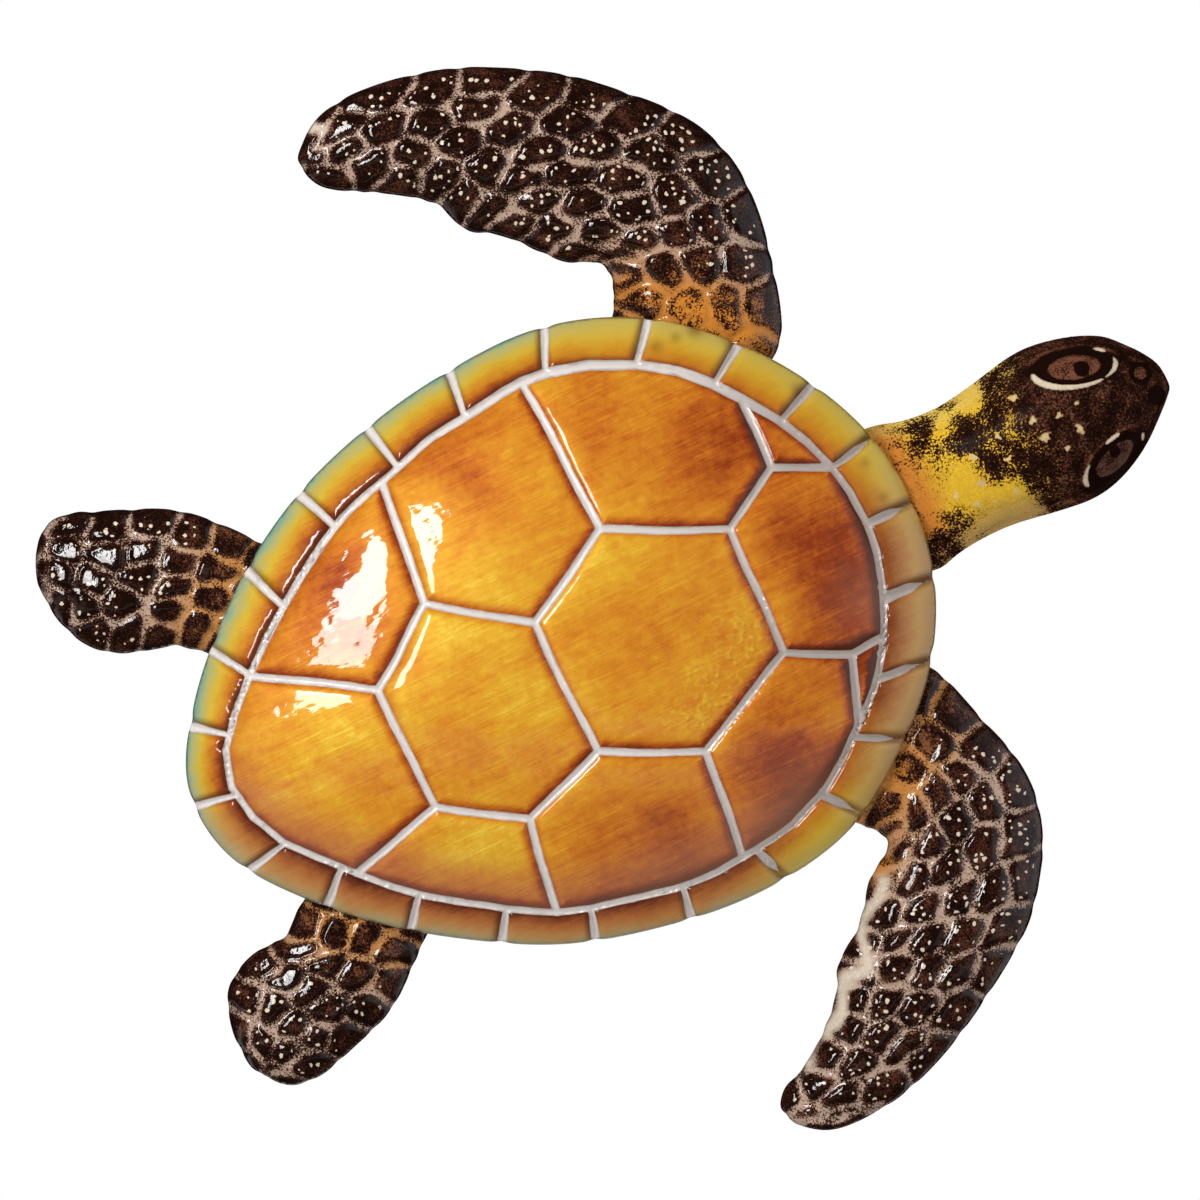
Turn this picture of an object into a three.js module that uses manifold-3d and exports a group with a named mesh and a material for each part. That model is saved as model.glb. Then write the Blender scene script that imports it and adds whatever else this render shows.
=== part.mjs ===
// Metal turtle wall decoration: pressed shell, head and flippers, welded behind the rim and hung by a keyhole
// strip.
// Millimetres. The wall is the plane Y = 0, the front looks towards -Y, +X is right and +Z is up.
import * as THREE from 'three';
import { mergeVertices } from 'three/addons/utils/BufferGeometryUtils.js';
import Module from 'manifold-3d';

// Sheet metal and fits
const SHEET = 0.8;
const SEAT_GAP = 0.3;
const WALL_CLEARANCE = 1;
const BODY_TILT = 21; // degrees that the head points above the horizontal

// Shell: an oval dome with a pillowed margin round it
const SHELL_LENGTH = 271;
const SHELL_WIDTH = 211;
const RIM_LIFT = 14;
const DOME_RISE = 31;
const DOME_POWER = 2.2;
const MARGIN_WIDTH = 15;
const MARGINAL_COUNT = 24;
const MARGINAL_START = 2.2; // degrees round the shell of the first seam, before its drift
const MARGINAL_DRIFT = 3; // degrees that the seams are drawn together towards one quarter
const MARGINAL_DRIFT_TOWARDS = 240;
const SEAM_WIDTH = 4.4;
const SCUTE_RISE = 2.2;
const SCUTE_CROWN = 1.2;
const MARGINAL_RISE = 2.6;
const MARGINAL_CROWN = 0.8;
const HALF_WAY_CROWN = 0.75; // share of a scute's crown that is reached half way to its middle
const GROOVE_LIMIT = 0.45; // most that the side of a groove takes of the room in a small cell

// Flippers: arched sheets with turned-down edges and embossed scales
const LIMB_EDGE = 4;
const EDGE_DRAFT = 1.5;
const EDGE_DRAFT_LIMIT = 0.3; // most that the draft takes of a narrow tip
const FLIPPER_ROUNDNESS = 3; // power of the arch across a flipper: higher is flatter in the middle
const TIP_ROUNDNESS = 8; // power of the fall towards the tip
const ROOT_TUCK = 9;
const RIM_RUN_OUT = 11;
const RUN_OUT_SLOPE = 0.6;
const SCALE_GROOVE = 2.6;
const SCALE_RISE = 1.3;
const SCALE_CROWN = 0.5;
const SCALE_STAGGER = 0.25;
const SCALE_EVENING = 2; // rounds in which each scale's site moves to the middle of its scale
const SCALE_DRIFT_ALONG = 0.2;
const SCALE_DRIFT_ACROSS = 0.16;
const FRONT_ARCH = 4;
const REAR_ARCH = 2;
const FRONT_LEFT_REACH = 152;
const FRONT_LEFT_BREADTH = 67;
const FRONT_RIGHT_REACH = 134;
const FRONT_RIGHT_BREADTH = 61;
const REAR_LEFT_REACH = 69;
const REAR_LEFT_BREADTH = 27;
const REAR_RIGHT_REACH = 68;
const REAR_RIGHT_BREADTH = 28;

// Head and neck
const HEAD_REACH = 98;
const HEAD_BREADTH = 32;
const HEAD_CROWN = 27;
const HEAD_ROUNDNESS = 2.6;
const NECK_RISES_FROM = 0.16; // shares of the length of head and neck
const NECK_RISES_TO = 0.62;
const SNOUT_FALLS_FROM = 0.7;
const SNOUT_DROP = 7;
const BEAK_BLUNTNESS = 10;
const BEAK_FALL = 0.75;
const EYE_LENGTH = 28;
const EYE_WIDTH = 17;
const EYE_RISE = 3.2;
const NOSTRIL_SIZE = 8;
const NOSTRIL_DEPTH = 1.2;

// Hanger strip with its keyhole, placed from the middle of the shell
const HANGER_RIGHT = 0.085 * SHELL_LENGTH; // above the centre of mass
const HANGER_UP = 0.341 * SHELL_WIDTH; // where its foot meets the ring groove
const HANGER_WIDTH = 20;
const HANGER_SHEET = 1.5;
const HANGER_DROP = 27;
const HANGER_FLAT = 9;
const HANGER_LEG_RUN = 5;
const HANGER_FOOT = 14;
const KEYHOLE_HEAD = 9;
const KEYHOLE_SLOT = 4.5;
const KEYHOLE_TRAVEL = 11;
const KEYHOLE_TOP = 4;

// Weld beads
const WELD_LENGTH = 11;
const WELD_WIDTH = 5;
const WELD_INSET = 6; // from the rim to the middle of a bead
const WELD_PLACES = [0.3, 0.7]; // shares of the way across the root
const HANGER_WELD_WIDTH = 4;

// Facets
const SCUTE_STEP = 13;
const RIM_STEPS = 3;
const SCALE_STEP = 12;
const CORNER_SNAP = 0.6;
const HEAD_STEPS_ALONG = 18;
const HEAD_STEPS_ACROSS = 12;
const WELD_GRID = [-1, -0.75, -0.5, -0.25, 0, 0.25, 0.5, 0.75, 1];
const WELD_FIT_STEPS = 30;
const WIDTH_PLACES = [0.2, 0.35, 0.5, 0.65, 0.8]; // shares of a limb's length where its width is taken

// Rim radius every 15 degrees from the head round by the left side, as a share of the half length and width
const RIM_SHAPE = [
  1.003, 1.0, 1.004, 1.022, 1.048, 1.034, 0.973, 0.928, 0.905, 0.895, 0.905, 0.947,
  1.004, 1.005, 0.96, 0.934, 0.934, 0.965, 0.996, 1.042, 1.07, 1.044, 1.028, 1.014,
];
// Margin width every 30 degrees, as a share of MARGIN_WIDTH
const MARGIN_SHAPE = [1.22, 1.17, 1.13, 1.15, 1.2, 1.22, 1.0, 1.1, 0.84, 0.8, 1.05, 1.2];

// Corners of the scutes inside the dome, as shares of the half length and half width from its middle
const SCUTE_CORNERS = {
  b: [0.226, 0.301], c: [0.534, 0.149], d: [0.552, -0.292], e: [0.274, -0.506], f: [0.015, -0.375],
  g: [-0.019, 0.092], h: [-0.261, 0.282], i: [-0.453, 0.072], j: [-0.423, -0.354], k: [-0.209, -0.506],
  l: [0.689, 0.289], m: [0.711, -0.377],
};
// Corners of the scutes on the ring groove, in degrees round the shell
const RING_CORNERS = {
  lr: 15.7, ll: 38.3, bl: 78.5, hl: 109.9, il: 160.2, jr: 213.9, kr: 254.1, er: 286.8, mr: 318.4, dr: 335.7,
};
const SCUTES = [
  ['b', 'c', 'd', 'e', 'f', 'g'],
  ['g', 'f', 'k', 'j', 'i', 'h'],
  ['c', 'l', 'lr', 'dr', 'm', 'd'],
  ['i', 'j', 'jr', 'il'],
  ['b', 'bl', 'll', 'l', 'c'],
  ['l', 'll', 'lr'],
  ['b', 'g', 'h', 'hl', 'bl'],
  ['h', 'i', 'il', 'hl'],
  ['j', 'k', 'kr', 'jr'],
  ['k', 'f', 'e', 'er', 'kr'],
  ['e', 'd', 'm', 'mr', 'er'],
  ['m', 'dr', 'mr'],
];

// Limb outlines: leading and trailing edge from the rim to the tip, along and across the limb's own heading,
// as shares of its reach and breadth. The anchor is where it leaves the rim, in degrees round the shell.
const LIMBS = {
  front_left_flipper: {
    anchor: 51, heading: 135.7, reach: FRONT_LEFT_REACH, breadth: FRONT_LEFT_BREADTH, arch: FRONT_ARCH,
    lead: [[-0.183, -0.092], [-0.095, -0.465], [0.035, -0.805], [0.148, -0.955], [0.25, -1], [0.395, -0.988],
      [0.52, -0.952], [0.67, -0.844], [0.79, -0.716], [0.945, -0.435], [0.998, -0.262], [1.02, -0.07],
      [1.012, 0.01]],
    trail: [[0.2, 0.11], [0.241, -0.077], [0.275, -0.112], [0.341, -0.05], [0.506, -0.043],
      [0.593, 0.006], [0.664, -0.056], [0.756, -0.028], [0.933, 0.094], [0.985, 0.066]],
    rows: [4, 4, 4, 5, 5, 5, 5, 5, 4, 4, 4, 3, 3, 2],
  },
  front_right_flipper: {
    anchor: 314.8, heading: -127.6, reach: FRONT_RIGHT_REACH, breadth: FRONT_RIGHT_BREADTH, arch: FRONT_ARCH,
    lead: [[-0.24, 0.034], [-0.15, 0.404], [-0.058, 0.714], [0.07, 0.918], [0.224, 0.994], [0.337, 1.002],
      [0.59, 0.862], [0.73, 0.744], [0.848, 0.599], [0.94, 0.427], [0.992, 0.269], [1.018, 0.129],
      [1.012, 0.04]],
    trail: [[0.21, -0.1], [0.222, 0.073], [0.249, 0.1], [0.315, 0.055], [0.469, 0.066], [0.577, 0.016],
      [0.648, 0.056], [0.832, 0.016], [0.935, -0.077], [0.98, -0.066]],
    rows: [4, 4, 5, 5, 5, 5, 5, 5, 4, 4, 3, 3, 2],
  },
  rear_left_flipper: {
    anchor: 144.4, heading: 147.3, reach: REAR_LEFT_REACH, breadth: REAR_LEFT_BREADTH, arch: REAR_ARCH,
    lead: [[-0.122, -0.793], [0.11, -0.936], [0.371, -1.008], [0.669, -0.85], [0.81, -0.75],
      [0.926, -0.66], [1.008, -0.479], [1.036, -0.212], [1.03, -0.02]],
    trail: [[0.048, 0.752], [0.146, 0.72], [0.231, 0.73], [0.452, 0.942], [0.548, 0.99], [0.677, 0.95],
      [0.797, 0.806], [0.953, 0.43], [1.014, 0.165]],
    rows: [4, 4, 5, 5, 5, 4, 3],
  },
  rear_right_flipper: {
    anchor: 220.9, heading: -147.6, reach: REAR_RIGHT_REACH, breadth: REAR_RIGHT_BREADTH, arch: REAR_ARCH,
    lead: [[0.128, -0.732], [0.301, -0.635], [0.466, -0.815], [0.656, -0.85], [0.758, -0.742],
      [0.874, -0.44], [0.934, -0.19], [0.968, 0.04]],
    trail: [[-0.122, 0.785], [0.103, 0.908], [0.318, 0.988], [0.544, 0.896], [0.765, 0.782], [0.9, 0.59],
      [0.955, 0.32]],
    rows: [4, 4, 4, 5, 5, 4, 3],
  },
};
const HEAD = {
  anchor: 2.1, heading: 1.3, reach: HEAD_REACH, breadth: HEAD_BREADTH,
  lead: [[-0.053, 0.885], [0.086, 0.8], [0.221, 0.797], [0.342, 0.872], [0.545, 1.022], [0.648, 1.018],
    [0.763, 0.947], [0.856, 0.831], [0.929, 0.622], [0.988, 0.403], [1.017, 0.172], [1.014, 0.03]],
  trail: [[0.006, -0.847], [0.099, -0.763], [0.28, -0.706], [0.51, -0.769], [0.618, -0.775], [0.708, -0.709],
    [0.79, -0.588], [0.86, -0.441], [0.93, -0.245], [0.975, -0.106]],
};
// Eyes and nostrils on the head, in the same shares, with the turn of the eye's long axis in degrees
const EYES = [{ at: [0.7, 0.66], turn: -12 }, { at: [0.8, -0.3], turn: 38 }];
const NOSTRILS = [[0.925, 0.42], [0.945, 0.06]];

const wasm = await Module();
wasm.setup();
const { degToRad, euclideanModulo, lerp, smoothstep } = THREE.MathUtils;

function mix(from, to, share) {
  return [lerp(from[0], to[0], share), lerp(from[1], to[1], share)];
}

function distance(from, to) {
  return Math.hypot(to[0] - from[0], to[1] - from[1]);
}

// Smooth closed run of values that are given at even steps round the shell
function roundTheShell(values, degrees) {
  const place = euclideanModulo(degrees, 360) / 360 * values.length;
  const first = Math.floor(place);
  const share = place - first;
  const [a, b, c, d] = [-1, 0, 1, 2].map((step) => values[euclideanModulo(first + step, values.length)]);
  return b + 0.5 * share * (c - a + share * (2 * a - 5 * b + 4 * c - d + share * (3 * (b - c) + d - a)));
}

function rimPoint(degrees) {
  const radius = roundTheShell(RIM_SHAPE, degrees);
  const angle = degToRad(degrees);
  return [radius * Math.cos(angle) * SHELL_LENGTH / 2, radius * Math.sin(angle) * SHELL_WIDTH / 2];
}

function ringPoint(degrees) {
  const rim = rimPoint(degrees);
  const margin = MARGIN_WIDTH * roundTheShell(MARGIN_SHAPE, degrees);
  return mix(rim, [0, 0], margin / Math.hypot(...rim));
}

function degreesAt(point) {
  return THREE.MathUtils.radToDeg(Math.atan2(point[1] / SHELL_WIDTH, point[0] / SHELL_LENGTH));
}

// How far a point of the plan lies outside the rim, measured along its ray, negative inside
function outsideRim(point) {
  return Math.hypot(...point) - Math.hypot(...rimPoint(degreesAt(point)));
}

// Front of the dome along the bottoms of its grooves
function domeHeight(point) {
  const share = Math.min(1, Math.hypot(...point) / Math.hypot(...rimPoint(degreesAt(point))));
  return RIM_LIFT + SHEET + DOME_RISE * (1 - share ** DOME_POWER);
}

function domeSlope() {
  return DOME_RISE * DOME_POWER / (SHELL_WIDTH / 2);
}

// Lowest the back of the dome can be, with its sheet measured upright
function domeUnderside(point) {
  return domeHeight(point) - SHEET * Math.hypot(1, domeSlope());
}

function signedArea(outline) {
  return outline.reduce((sum, p, i) => {
    const q = outline[(i + 1) % outline.length];
    return sum + (p[0] * q[1] - q[0] * p[1]) / 2;
  }, 0);
}

function middleOf(outline) {
  const area = signedArea(outline);
  const sum = [0, 0];
  outline.forEach((p, i) => {
    const q = outline[(i + 1) % outline.length];
    const cross = p[0] * q[1] - q[0] * p[1];
    sum[0] += (p[0] + q[0]) * cross;
    sum[1] += (p[1] + q[1]) * cross;
  });
  return [sum[0] / (6 * area), sum[1] / (6 * area)];
}

// Left-hand normal of the line from one point to the next
function leftOf(from, to) {
  const length = distance(from, to);
  return [(from[1] - to[1]) / length, (to[0] - from[0]) / length];
}

// Step sideways at a corner that keeps the same distance to both of its sides
function mitre(before, after, offset) {
  const scale = offset / Math.max(0.5, 1 + before[0] * after[0] + before[1] * after[1]);
  return [(before[0] + after[0]) * scale, (before[1] + after[1]) * scale];
}

function inset(outline, offset) {
  const inward = Math.sign(signedArea(outline)) * offset;
  return outline.map((p, i) => {
    const previous = outline[(i + outline.length - 1) % outline.length];
    const next = outline[(i + 1) % outline.length];
    const step = mitre(leftOf(previous, p), leftOf(p, next), inward);
    return [p[0] + step[0], p[1] + step[1]];
  });
}

// Distance from the middle of a cell to its nearest side
function roomIn(outline, middle) {
  return Math.min(...outline.map((p, i) => {
    const normal = leftOf(p, outline[(i + 1) % outline.length]);
    return Math.abs((middle[0] - p[0]) * normal[0] + (middle[1] - p[1]) * normal[1]);
  }));
}

function stepsBetween(from, to, longest) {
  const count = Math.max(1, Math.ceil(distance(from, to) / longest - 1e-6));
  return Array.from({ length: count }, (_, i) => mix(from, to, i / count));
}

// A pressed sheet: cells drawn flat, put in place by a function that gives x, y, height and the height limit
class PressedSheet {
  constructor(place) {
    this.place = place;
    this.flat = [];
    this.points = [];
    this.faces = [];
    this.corners = [];
  }

  point(flat, lift) {
    const spot = this.place(flat);
    this.flat.push(flat);
    const height = Math.min(spot.height + lift, spot.limit);
    return this.points.push(new THREE.Vector3(spot.x, spot.y, height)) - 1;
  }

  // A corner that neighbouring cells share
  corner(flat) {
    const found = this.corners.find((index) => distance(this.flat[index], flat) < CORNER_SNAP);
    if (found !== undefined) return found;
    const index = this.point(flat, 0);
    this.corners.push(index);
    return index;
  }

  strip(outer, inner) {
    outer.forEach((a, i) => {
      const next = (i + 1) % outer.length;
      this.faces.push([a, outer[next], inner[next]], [a, inner[next], inner[i]]);
    });
  }

  // A pillow that rises from its groove lines; a large one has a ring half way to its middle
  cell(outline, groove, rise, crown, large) {
    const corners = outline.map((flat) => this.corner(flat));
    let rim = corners.filter((index, i) => index !== corners.at(i - 1));
    if (rim.length < 3) return;
    if (signedArea(rim.map((index) => this.points[index].toArray())) < 0) rim = rim.reverse();
    const flatRim = rim.map((index) => this.flat[index]);
    const middle = middleOf(flatRim);
    const shoulderFlat = inset(flatRim, Math.min(groove / 2, GROOVE_LIMIT * roomIn(flatRim, middle)));
    let ring = shoulderFlat.map((flat) => this.point(flat, rise));
    this.strip(rim, ring);
    if (large) {
      const halfRise = rise + HALF_WAY_CROWN * crown;
      const half = shoulderFlat.map((flat) => this.point(mix(flat, middle, 0.5), halfRise));
      this.strip(ring, half);
      ring = half;
    }
    const hub = this.point(middle, rise + crown);
    ring.forEach((a, i) => this.faces.push([a, ring[(i + 1) % ring.length], hub]));
  }

  // Directed edges with a face on one side only
  openEdges() {
    const edges = new Map();
    for (const [a, b, c] of this.faces) {
      for (const [from, to] of [[a, b], [b, c], [c, a]]) edges.set(`${from} ${to}`, [from, to]);
    }
    return [...edges.values()].filter(([from, to]) => !edges.has(`${to} ${from}`));
  }

  band(edges, below) {
    return edges.flatMap(([a, b]) => [[b, a, below(a)], [b, below(a), below(b)]]);
  }

  // Turns the open edges down to the feet that the function gives, apart from those it leaves open
  turnDown(foot, staysOpen) {
    const feet = new Map();
    const below = (index) => {
      if (!feet.has(index)) {
        const [x, y] = foot(this.flat[index]);
        this.flat.push(this.flat[index]);
        feet.set(index, this.points.push(new THREE.Vector3(x, y, WALL_CLEARANCE)) - 1);
      }
      return feet.get(index);
    };
    const turned = this.openEdges().filter((edge) => !edge.every((index) => staysOpen(this.flat[index])));
    this.faces.push(...this.band(turned, below));
  }

  // Points of the back, one sheet behind those of the front
  back() {
    const normals = this.points.map(() => new THREE.Vector3());
    for (const [a, b, c] of this.faces) {
      const along = new THREE.Vector3().subVectors(this.points[b], this.points[a]);
      const across = new THREE.Vector3().subVectors(this.points[c], this.points[a]);
      const normal = along.cross(across);
      for (const index of [a, b, c]) normals[index].add(normal);
    }
    return this.points.map((p, i) => p.clone().addScaledVector(normals[i].normalize(), -SHEET));
  }

  // Height of the front or the back at a point of the plan, undefined beside the sheet
  heightAt(spot, side) {
    for (const face of this.faces) {
      const corners = face.map((index) => side[index]);
      const flat = corners.map(({ x, y }) => [x, y]);
      const shares = flat.map((_, i) => signedArea(flat.with(i, spot)) / signedArea(flat));
      if (shares.every((share) => share >= 0)) {
        return corners.reduce((sum, { z }, i) => sum + z * shares[i], 0);
      }
    }
    return undefined;
  }

  geometry() {
    const count = this.points.length;
    const backFaces = this.faces.map(([a, b, c]) => [a + count, c + count, b + count]);
    const edge = this.band(this.openEdges(), (index) => index + count);
    const geometry = new THREE.BufferGeometry();
    geometry.setFromPoints([...this.points, ...this.back()]);
    geometry.setIndex([...this.faces, ...backFaces, ...edge].flat());
    geometry.computeVertexNormals();
    return geometry;
  }
}

// Marginal seams: even steps, drawn slightly together towards the right rear quarter
function marginalDegrees(index) {
  const even = index * 360 / MARGINAL_COUNT;
  return even + MARGINAL_START + MARGINAL_DRIFT * Math.cos(degToRad(even - MARGINAL_DRIFT_TOWARDS));
}

function shellSheet() {
  const marginals = Array.from({ length: MARGINAL_COUNT }, (_, i) => marginalDegrees(i));
  const half = 180 / MARGINAL_COUNT;
  const near = half / 3;
  const shortWay = (from, to) => euclideanModulo(to - from + 180, 360) - 180;
  // A scute's corner close to a marginal seam settles on it
  const settled = (degrees) => marginals.find((seam) => Math.abs(shortWay(degrees, seam)) < near) ?? degrees;
  const ringCorners = Object.entries(RING_CORNERS).map(([name, degrees]) => [name, settled(degrees)]);
  const ringDegrees = new Map(ringCorners);
  const stops = [...ringDegrees.values(), ...marginals, ...marginals.map((seam) => seam + half)];
  const ringStops = stops.filter((stop, i) => (
    stops.slice(0, i).every((other) => Math.abs(other - stop) > near)));
  // Ring points strictly between two bearings, the short way round
  const between = (from, to) => {
    const turn = shortWay(from, to);
    const ahead = (degrees) => euclideanModulo((degrees - from) * Math.sign(turn), 360);
    const inside = ringStops.filter((stop) => ahead(stop) > 0.01 && ahead(stop) < Math.abs(turn) - 0.01);
    return inside.sort((p, q) => ahead(p) - ahead(q)).map(ringPoint);
  };
  const cornerPoint = (name) => {
    if (ringDegrees.has(name)) return ringPoint(ringDegrees.get(name));
    const [along, across] = SCUTE_CORNERS[name];
    return [along * SHELL_LENGTH / 2, across * SHELL_WIDTH / 2];
  };
  const sheet = new PressedSheet((p) => ({ x: p[0], y: p[1], height: domeHeight(p), limit: Infinity }));
  for (const names of SCUTES) {
    const outline = names.flatMap((name, i) => {
      const next = names[(i + 1) % names.length];
      const [start, end] = [name, next].map(cornerPoint);
      if (!ringDegrees.has(name) || !ringDegrees.has(next)) return stepsBetween(start, end, SCUTE_STEP);
      return [start, ...between(ringDegrees.get(name), ringDegrees.get(next))];
    });
    sheet.cell(outline, SEAM_WIDTH, SCUTE_RISE, SCUTE_CROWN, true);
  }
  marginals.forEach((start, i) => {
    const end = marginals[(i + 1) % MARGINAL_COUNT];
    const sweep = euclideanModulo(end - start, 360);
    const rim = Array.from({ length: RIM_STEPS + 1 }, (_, k) => rimPoint(start + sweep * k / RIM_STEPS));
    const outline = [...rim, ringPoint(end), ...between(end, start), ringPoint(start)];
    sheet.cell(outline, SEAM_WIDTH, MARGINAL_RISE, MARGINAL_CROWN, false);
  });
  return sheet;
}

// The plan of a limb: flat points run along it from its tucked root and across it from its leading edge
function limbPlan(limb) {
  const anchor = rimPoint(limb.anchor);
  const heading = degToRad(limb.heading);
  const [cos, sin] = [Math.cos(heading), Math.sin(heading)];
  const toBody = ([along, across]) => [
    anchor[0] + along * limb.reach * cos - across * limb.breadth * sin,
    anchor[1] + along * limb.reach * sin + across * limb.breadth * cos,
  ];
  const edge = (shares) => {
    const points = shares.map(toBody);
    const depth = ROOT_TUCK + Math.max(0, outsideRim(points[0]));
    const root = mix(points[0], [0, 0], depth / Math.hypot(...points[0]));
    return new THREE.CatmullRomCurve3([root, ...points].map(([x, y]) => new THREE.Vector3(x, y, 0)));
  };
  const lead = edge(limb.lead);
  const trail = edge(limb.trail);
  const length = (lead.getLength() + trail.getLength()) / 2;
  const at = (curve, share) => curve.getPointAt(Math.min(1, Math.max(0, share))).toArray();
  const widths = WIDTH_PLACES.map((share) => distance(at(lead, share), at(trail, share)));
  const width = widths.reduce((sum, each) => sum + each, 0) / widths.length;
  const inner = (flat) => {
    const share = flat[0] / length * (1 - EDGE_DRAFT / length);
    const [from, to] = [at(lead, share), at(trail, share)];
    const edgeShare = Math.min(EDGE_DRAFT_LIMIT, EDGE_DRAFT / distance(from, to));
    return mix(from, to, lerp(edgeShare, 1 - edgeShare, flat[1] / width));
  };
  const foot = (flat) => {
    const tip = flat[0] > length - CORNER_SNAP;
    const side = flat[1] < CORNER_SNAP ? 0 : flat[1] > width - CORNER_SNAP ? 1 : flat[1] / width;
    const share = tip ? 1 : flat[0] / length * (1 - EDGE_DRAFT / length);
    return mix(at(lead, share), at(trail, share), side);
  };
  return { length, width, inner, foot, toBody };
}

// Highest a limb can reach: under the rim it stays below the shell, and it climbs only once it is clear of it
function rimLimit(point) {
  return RIM_LIFT - SEAT_GAP + RUN_OUT_SLOPE * Math.max(0, outsideRim(point) - RIM_RUN_OUT);
}

function limbPlace(limb, plan) {
  return (flat) => {
    const [x, y] = plan.inner(flat);
    const along = flat[0] / plan.length;
    const across = 1 - Math.abs(2 * flat[1] / plan.width - 1) ** FLIPPER_ROUNDNESS;
    const crown = RIM_LIFT - SEAT_GAP - SCALE_RISE - SCALE_CROWN + limb.arch * Math.sin(Math.PI * along);
    const height = LIMB_EDGE + (crown - LIMB_EDGE) * across * (1 - along ** TIP_ROUNDNESS);
    return { x, y, height, limit: rimLimit([x, y]) };
  };
}

// Small steady variation between -1 and 1, so that no two scales are alike
function unevenness(row, place) {
  const wave = Math.sin(row * 12.9898 + place * 78.233) * 43758.5453;
  return 2 * (wave - Math.floor(wave)) - 1;
}

// Middles of the scales, in staggered rows
function scaleSites(rows, plan) {
  return rows.flatMap((count, row) => Array.from({ length: count }, (_, k) => {
    const stagger = row % 2 === 0 ? SCALE_STAGGER : -SCALE_STAGGER;
    const along = (row + 0.5 + SCALE_DRIFT_ALONG * unevenness(row, k)) / rows.length;
    const across = (k + 0.5 + stagger + SCALE_DRIFT_ACROSS * unevenness(k, row + 7)) / count;
    return [along * plan.length, across * plan.width];
  }));
}

// The part of an outline that lies nearer to one site than to the other
function nearerPart(outline, site, other) {
  const lead = (p) => distance(p, other) ** 2 - distance(p, site) ** 2;
  return outline.flatMap((p, i) => {
    const q = outline[(i + 1) % outline.length];
    const [atP, atQ] = [lead(p), lead(q)];
    const kept = atP >= 0 ? [p] : [];
    return atP * atQ < 0 ? [...kept, mix(p, q, atP / (atP - atQ))] : kept;
  });
}

function scaleOutlines(rows, plan) {
  const field = [[0, 0], [plan.length, 0], [plan.length, plan.width], [0, plan.width]];
  const around = (sites) => sites.map((site) => sites.filter((other) => other !== site)
    .reduce((outline, other) => nearerPart(outline, site, other), field));
  let outlines = around(scaleSites(rows, plan));
  for (let round = 0; round < SCALE_EVENING; round += 1) outlines = around(outlines.map(middleOf));
  return outlines;
}

function flipperSheet(limb) {
  const plan = limbPlan(limb);
  const sheet = new PressedSheet(limbPlace(limb, plan));
  const outlines = scaleOutlines(limb.rows, plan);
  const toEdge = ([along, across]) => Math.min(along, plan.length - along, across, plan.width - across);
  // The edge's corners come first, so that close inner ones settle on the edge
  for (const flat of outlines.flat().filter((p) => toEdge(p) < 1e-6)) sheet.corner(flat);
  for (const outline of outlines) {
    const settled = outline.map((flat) => sheet.flat[sheet.corner(flat)]);
    const split = settled.flatMap((p, i) => {
      const q = settled[(i + 1) % settled.length];
      return distance(p, q) < CORNER_SNAP ? [] : stepsBetween(p, q, SCALE_STEP);
    });
    sheet.cell(split, SCALE_GROOVE, SCALE_RISE, SCALE_CROWN, false);
  }
  sheet.turnDown(plan.foot, ([along]) => along < CORNER_SNAP);
  return { sheet, plan };
}

// A smooth oval swelling of height 1 at its middle, 0 at its edge and beyond
function swelling(point, middle, long, wide, turn) {
  const [dx, dy] = [point[0] - middle[0], point[1] - middle[1]];
  const [cos, sin] = [Math.cos(degToRad(turn)), Math.sin(degToRad(turn))];
  const away = Math.hypot((dx * cos + dy * sin) * 2 / long, (dy * cos - dx * sin) * 2 / wide);
  return away < 1 ? (1 - away ** 2) ** 2 : 0;
}

function headPlace(plan) {
  const eyes = EYES.map(({ at, turn }) => ({ middle: plan.toBody(at), turn: turn + HEAD.heading }));
  const nostrils = NOSTRILS.map(plan.toBody);
  return (flat) => {
    const [x, y] = plan.inner(flat);
    const along = flat[0] / plan.length;
    const across = 1 - Math.abs(2 * flat[1] / plan.width - 1) ** HEAD_ROUNDNESS;
    const neck = lerp(RIM_LIFT - SEAT_GAP, HEAD_CROWN, smoothstep(along, NECK_RISES_FROM, NECK_RISES_TO));
    const crown = neck - SNOUT_DROP * smoothstep(along, SNOUT_FALLS_FROM, 1);
    let height = LIMB_EDGE + (crown - LIMB_EDGE) * across * (1 - BEAK_FALL * along ** BEAK_BLUNTNESS);
    for (const { middle, turn } of eyes) {
      height += EYE_RISE * swelling([x, y], middle, EYE_LENGTH, EYE_WIDTH, turn);
    }
    for (const middle of nostrils) {
      height -= NOSTRIL_DEPTH * swelling([x, y], middle, NOSTRIL_SIZE, NOSTRIL_SIZE, 0);
    }
    return { x, y, height, limit: rimLimit([x, y]) };
  };
}

function headSheet() {
  const plan = limbPlan(HEAD);
  const sheet = new PressedSheet(headPlace(plan));
  const rows = Array.from({ length: HEAD_STEPS_ALONG + 1 }, (_, i) => (
    Array.from({ length: HEAD_STEPS_ACROSS + 1 }, (_, k) => (
      sheet.point([plan.length * i / HEAD_STEPS_ALONG, plan.width * k / HEAD_STEPS_ACROSS], 0)))));
  for (let i = 0; i < HEAD_STEPS_ALONG; i += 1) {
    for (let k = 0; k < HEAD_STEPS_ACROSS; k += 1) {
      const [a, b, c, d] = [rows[i][k], rows[i][k + 1], rows[i + 1][k + 1], rows[i + 1][k]];
      sheet.faces.push([a, b, c], [a, c, d]);
    }
  }
  sheet.turnDown(plan.foot, ([along]) => along < CORNER_SNAP);
  return { sheet, plan };
}

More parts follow.
